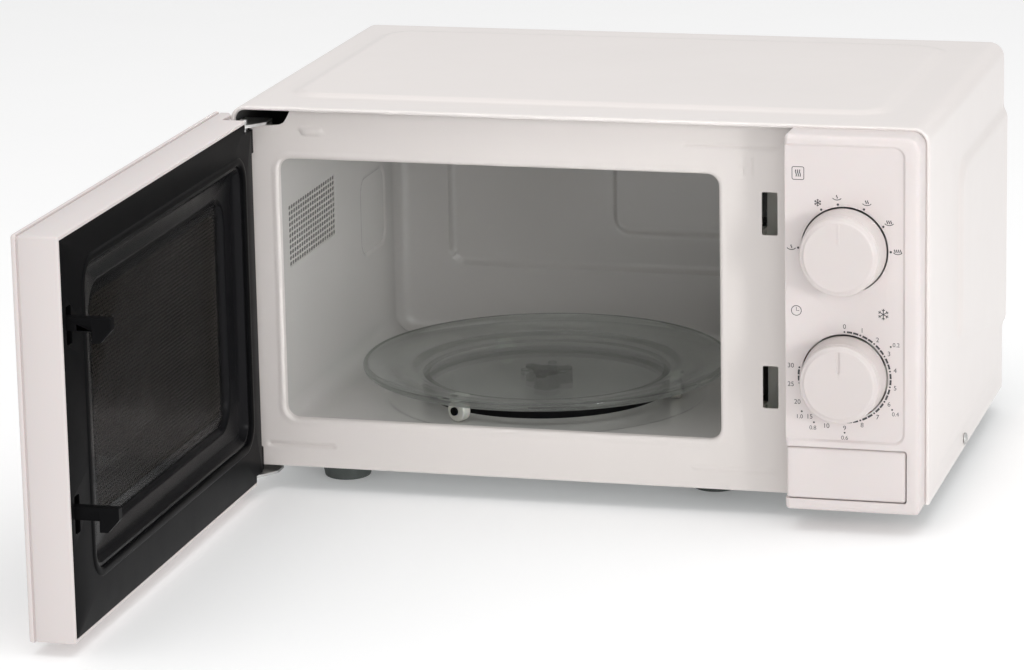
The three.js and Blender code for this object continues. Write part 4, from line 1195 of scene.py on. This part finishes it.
covered = {name for piece in bpy.data.objects for name in piece.get("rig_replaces", [])}
for part in frame["record"]["subparts"]:
    name = part["node"]
    if name not in covered and name not in ("door_frame", "screen_film", "latch_plate"):
        dress(name, kept[part["material_slot"]])

# ----------------------------------------
# Printed marks on the panel: plain picture signs for the power steps, the timer's numbers, a
# dashed ring and its dots, in dark grey ink.
INK_Y = PANEL_FRONT + 1.36
marks = []


def stroke(line, width):
    """A flat ribbon along a line of (x, z) points."""
    left, right = [], []
    for index, (x, z) in enumerate(line):
        ax, az = line[max(index - 1, 0)]
        bx, bz = line[min(index + 1, len(line) - 1)]
        length = math.hypot(bx - ax, bz - az) or 1.0
        nx, nz = -(bz - az) / length * width / 2, (bx - ax) / length * width / 2
        left.append((x + nx, INK_Y, z + nz))
        right.append((x - nx, INK_Y, z - nz))
    marks.append(loft([left, right], ring=False))


def spot(x, z, radius):
    marks.append((standing(round_loop(x, z, radius, 20), INK_Y), [tuple(range(20))]))


def snowflake(x, z, size):
    for arm in range(6):
        angle = math.radians(60 * arm + 30)
        ux, uz = math.cos(angle), math.sin(angle)
        stroke([(x, z), (x + size * ux, z + size * uz)], 0.5)
        for turn in (-1, 1):
            side = angle + turn * math.radians(50)
            kx, kz = x + 0.6 * size * ux, z + 0.6 * size * uz
            stroke([(kx, kz), (kx + 0.35 * size * math.cos(side), kz + 0.35 * size * math.sin(side))], 0.45)


def steam(x, z, count, height):
    """Short upright waves, side by side."""
    for i in range(count):
        middle = x + 1.25 * (i - (count - 1) / 2)
        line = [(middle + 0.3 * math.sin(2 * math.pi * t), z + height * t) for t in spread_out(0, 1, 10)]
        stroke(line, 0.6)


def dish_sign(x, z, count):
    bowl = [math.radians(a) for a in spread_out(205, 335, 14)]
    stroke([(x + 3.0 * math.cos(a), z + 2.0 * math.sin(a) + 0.6) for a in bowl], 0.5)
    steam(x, z - 0.4, count, 2.1)


def write(text, x, z, size):
    curve = bpy.data.curves.new("figure", "FONT")
    curve.body = text
    curve.size = size
    curve.align_x = "CENTER"
    curve.align_y = "CENTER"
    holder = add_object("figure", curve)
    bpy.context.view_layer.update()
    drawn = bpy.data.meshes.new_from_object(holder)
    points = [(x + v.co.x, INK_Y, z + v.co.y) for v in drawn.vertices]
    marks.append((points, [tuple(face.vertices) for face in drawn.polygons]))
    bpy.data.objects.remove(holder)


DOT_RADIUS = 28.9


def round_dial(z, radius, clock):
    """A point beside a dial at an angle clockwise from the top."""
    angle = math.radians(90 - clock)
    return DIAL_X + radius * math.cos(angle), z + radius * math.sin(angle)


side = rounded_loop(369.4, 376.8, 209.5, 217.5, 1, along=(3, 3), corner=4)
stroke([*side, side[0]], 0.45)
steam(373.1, 211.3, 3, 4.4)
for step, clock in enumerate((-89, -30, -8, 25, 57, 90)):
    sign_x, sign_z = round_dial(POWER_Z, 33.2, clock)
    spot(*round_dial(POWER_Z, DOT_RADIUS, clock), 0.75)
    if step == 1:
        snowflake(sign_x, sign_z + 0.6, 2.3)
    else:
        dish_sign(sign_x, sign_z, max(step - 1, 1))
stroke(round_loop(371.8, 126.6, 3.1, 32) + [(374.9, 126.6)], 0.45)
stroke([(371.8, 128.8), (371.8, 126.6), (373.6, 126.6)], 0.4)
snowflake(426.3, 126.4, 3.6)
FIGURES = ["0", "1", "2", "3", "4", "5", "6", "7", "8", "9", "10", "15", "20", "25", "30"]
for step, text in enumerate(FIGURES):
    clock = 20 * step
    write(text, *round_dial(TIMER_Z, 32.2 + 2.2 * soft_step(step - 8, 3), clock), 4.2)
    if step < 10 or step > 12:
        spot(*round_dial(TIMER_Z, DOT_RADIUS, clock), 0.6)
    if step < 9 or step == 13:
        for start in (3.0, 10.8):
            stroke([round_dial(TIMER_Z, DOT_RADIUS, clock + start + 1.3 * i) for i in range(6)], 1.25)
WEIGHTS = [("0.2", 56, -4), ("0.4", 125, -5), ("0.6", 180, 0), ("0.8", 211, 5), ("1.0", 227, 6)]
for text, clock, mark in WEIGHTS:
    write(text, *round_dial(TIMER_Z, 39.0, clock), 3.7)
    spot(*round_dial(TIMER_Z, 35.6, clock + mark * 0.4), 0.6)
ink_grey = skin_finish("ink_grey", (0.045, 0.045, 0.048), 0.5, tone=0.1, grain=1500.0, depth=0.00001)
make_piece("printed_marks", join_shapes(marks), ink_grey, "cabinet")

# ----------------------------------------
# Setting: a pale floor, soft light from large panels, and the camera in front and to the right.
paper = skin_finish("pale_floor", (0.93, 0.93, 0.93), 0.8, tone=0.02, grain=300.0, depth=0.00001,
                    Emission_Color=(1.0, 1.0, 1.0, 1.0), Emission_Strength=0.14)
FLOOR_REACH = 30 / MM
corners = [(-1, -1), (1, -1), (1, 1), (-1, 1)]
floor_points = [in_cabinet(x * FLOOR_REACH, y * FLOOR_REACH, -FOOT_HEIGHT) for x, y in corners]
floor_mesh = bpy.data.meshes.new("pale_floor")
floor_mesh.from_pydata(floor_points, [], [(0, 1, 2, 3)])
floor_mesh.materials.append(paper)
add_object("pale_floor", floor_mesh)

world = bpy.data.worlds.new("studio")
world.use_nodes = True
sky = world.node_tree.nodes["Background"]
sky.inputs["Color"].default_value = (1.0, 1.0, 1.0, 1)
sky.inputs["Strength"].default_value = 0.67
bpy.context.scene.world = world


def lamp(name, place, aim, size, power):
    light = bpy.data.lights.new(name, "AREA")
    light.shape = "RECTANGLE"
    light.size, light.size_y = size
    light.energy = power
    holder = add_object(name, light)
    holder.location = place
    holder.rotation_euler = (Vector(aim) - Vector(place)).to_track_quat("-Z", "Y").to_euler()
    return light


lamp("overhead", (0.2, -0.3, 2.4), (0, 0.1, 0.1), (2.6, 2.0), 24)
lamp("front_fill", (1.2, -3.0, 1.1), (0, 0.05, 0.1), (1.6, 1.2), 12)
lamp("right_fill", (2.5, -1.7, 0.55), (0, 0.05, 0.15), (1.4, 1.0), 12)
mouth = lamp("mouth_light", (1.03, -0.88, 0.33), (-0.196, 0.153, 0.136), (0.3, 0.25), 0.09)
mouth.spread = math.radians(16)

yaw, pitch, roll = math.radians(15.244), math.radians(14.148), math.radians(-1.154)
backward = Vector((math.sin(yaw) * math.cos(pitch), -math.cos(yaw) * math.cos(pitch), math.sin(pitch)))
rightward = (-backward).cross(Vector((0, 0, 1))).normalized()
upward = rightward.cross(-backward)
camera_x = rightward * math.cos(roll) + upward * math.sin(roll)
camera_y = -rightward * math.sin(roll) + upward * math.cos(roll)
lens = bpy.data.cameras.new("camera")
lens.lens = 156.15
lens.sensor_width = 36
lens.clip_end = 100
camera = add_object("camera", lens)
camera.matrix_world = Matrix((camera_x, camera_y, backward)).transposed().to_4x4()
camera.location = (0.6828, -2.6144, 0.8029)
bpy.context.scene.camera = camera
bpy.context.scene.view_settings.view_transform = "Standard"
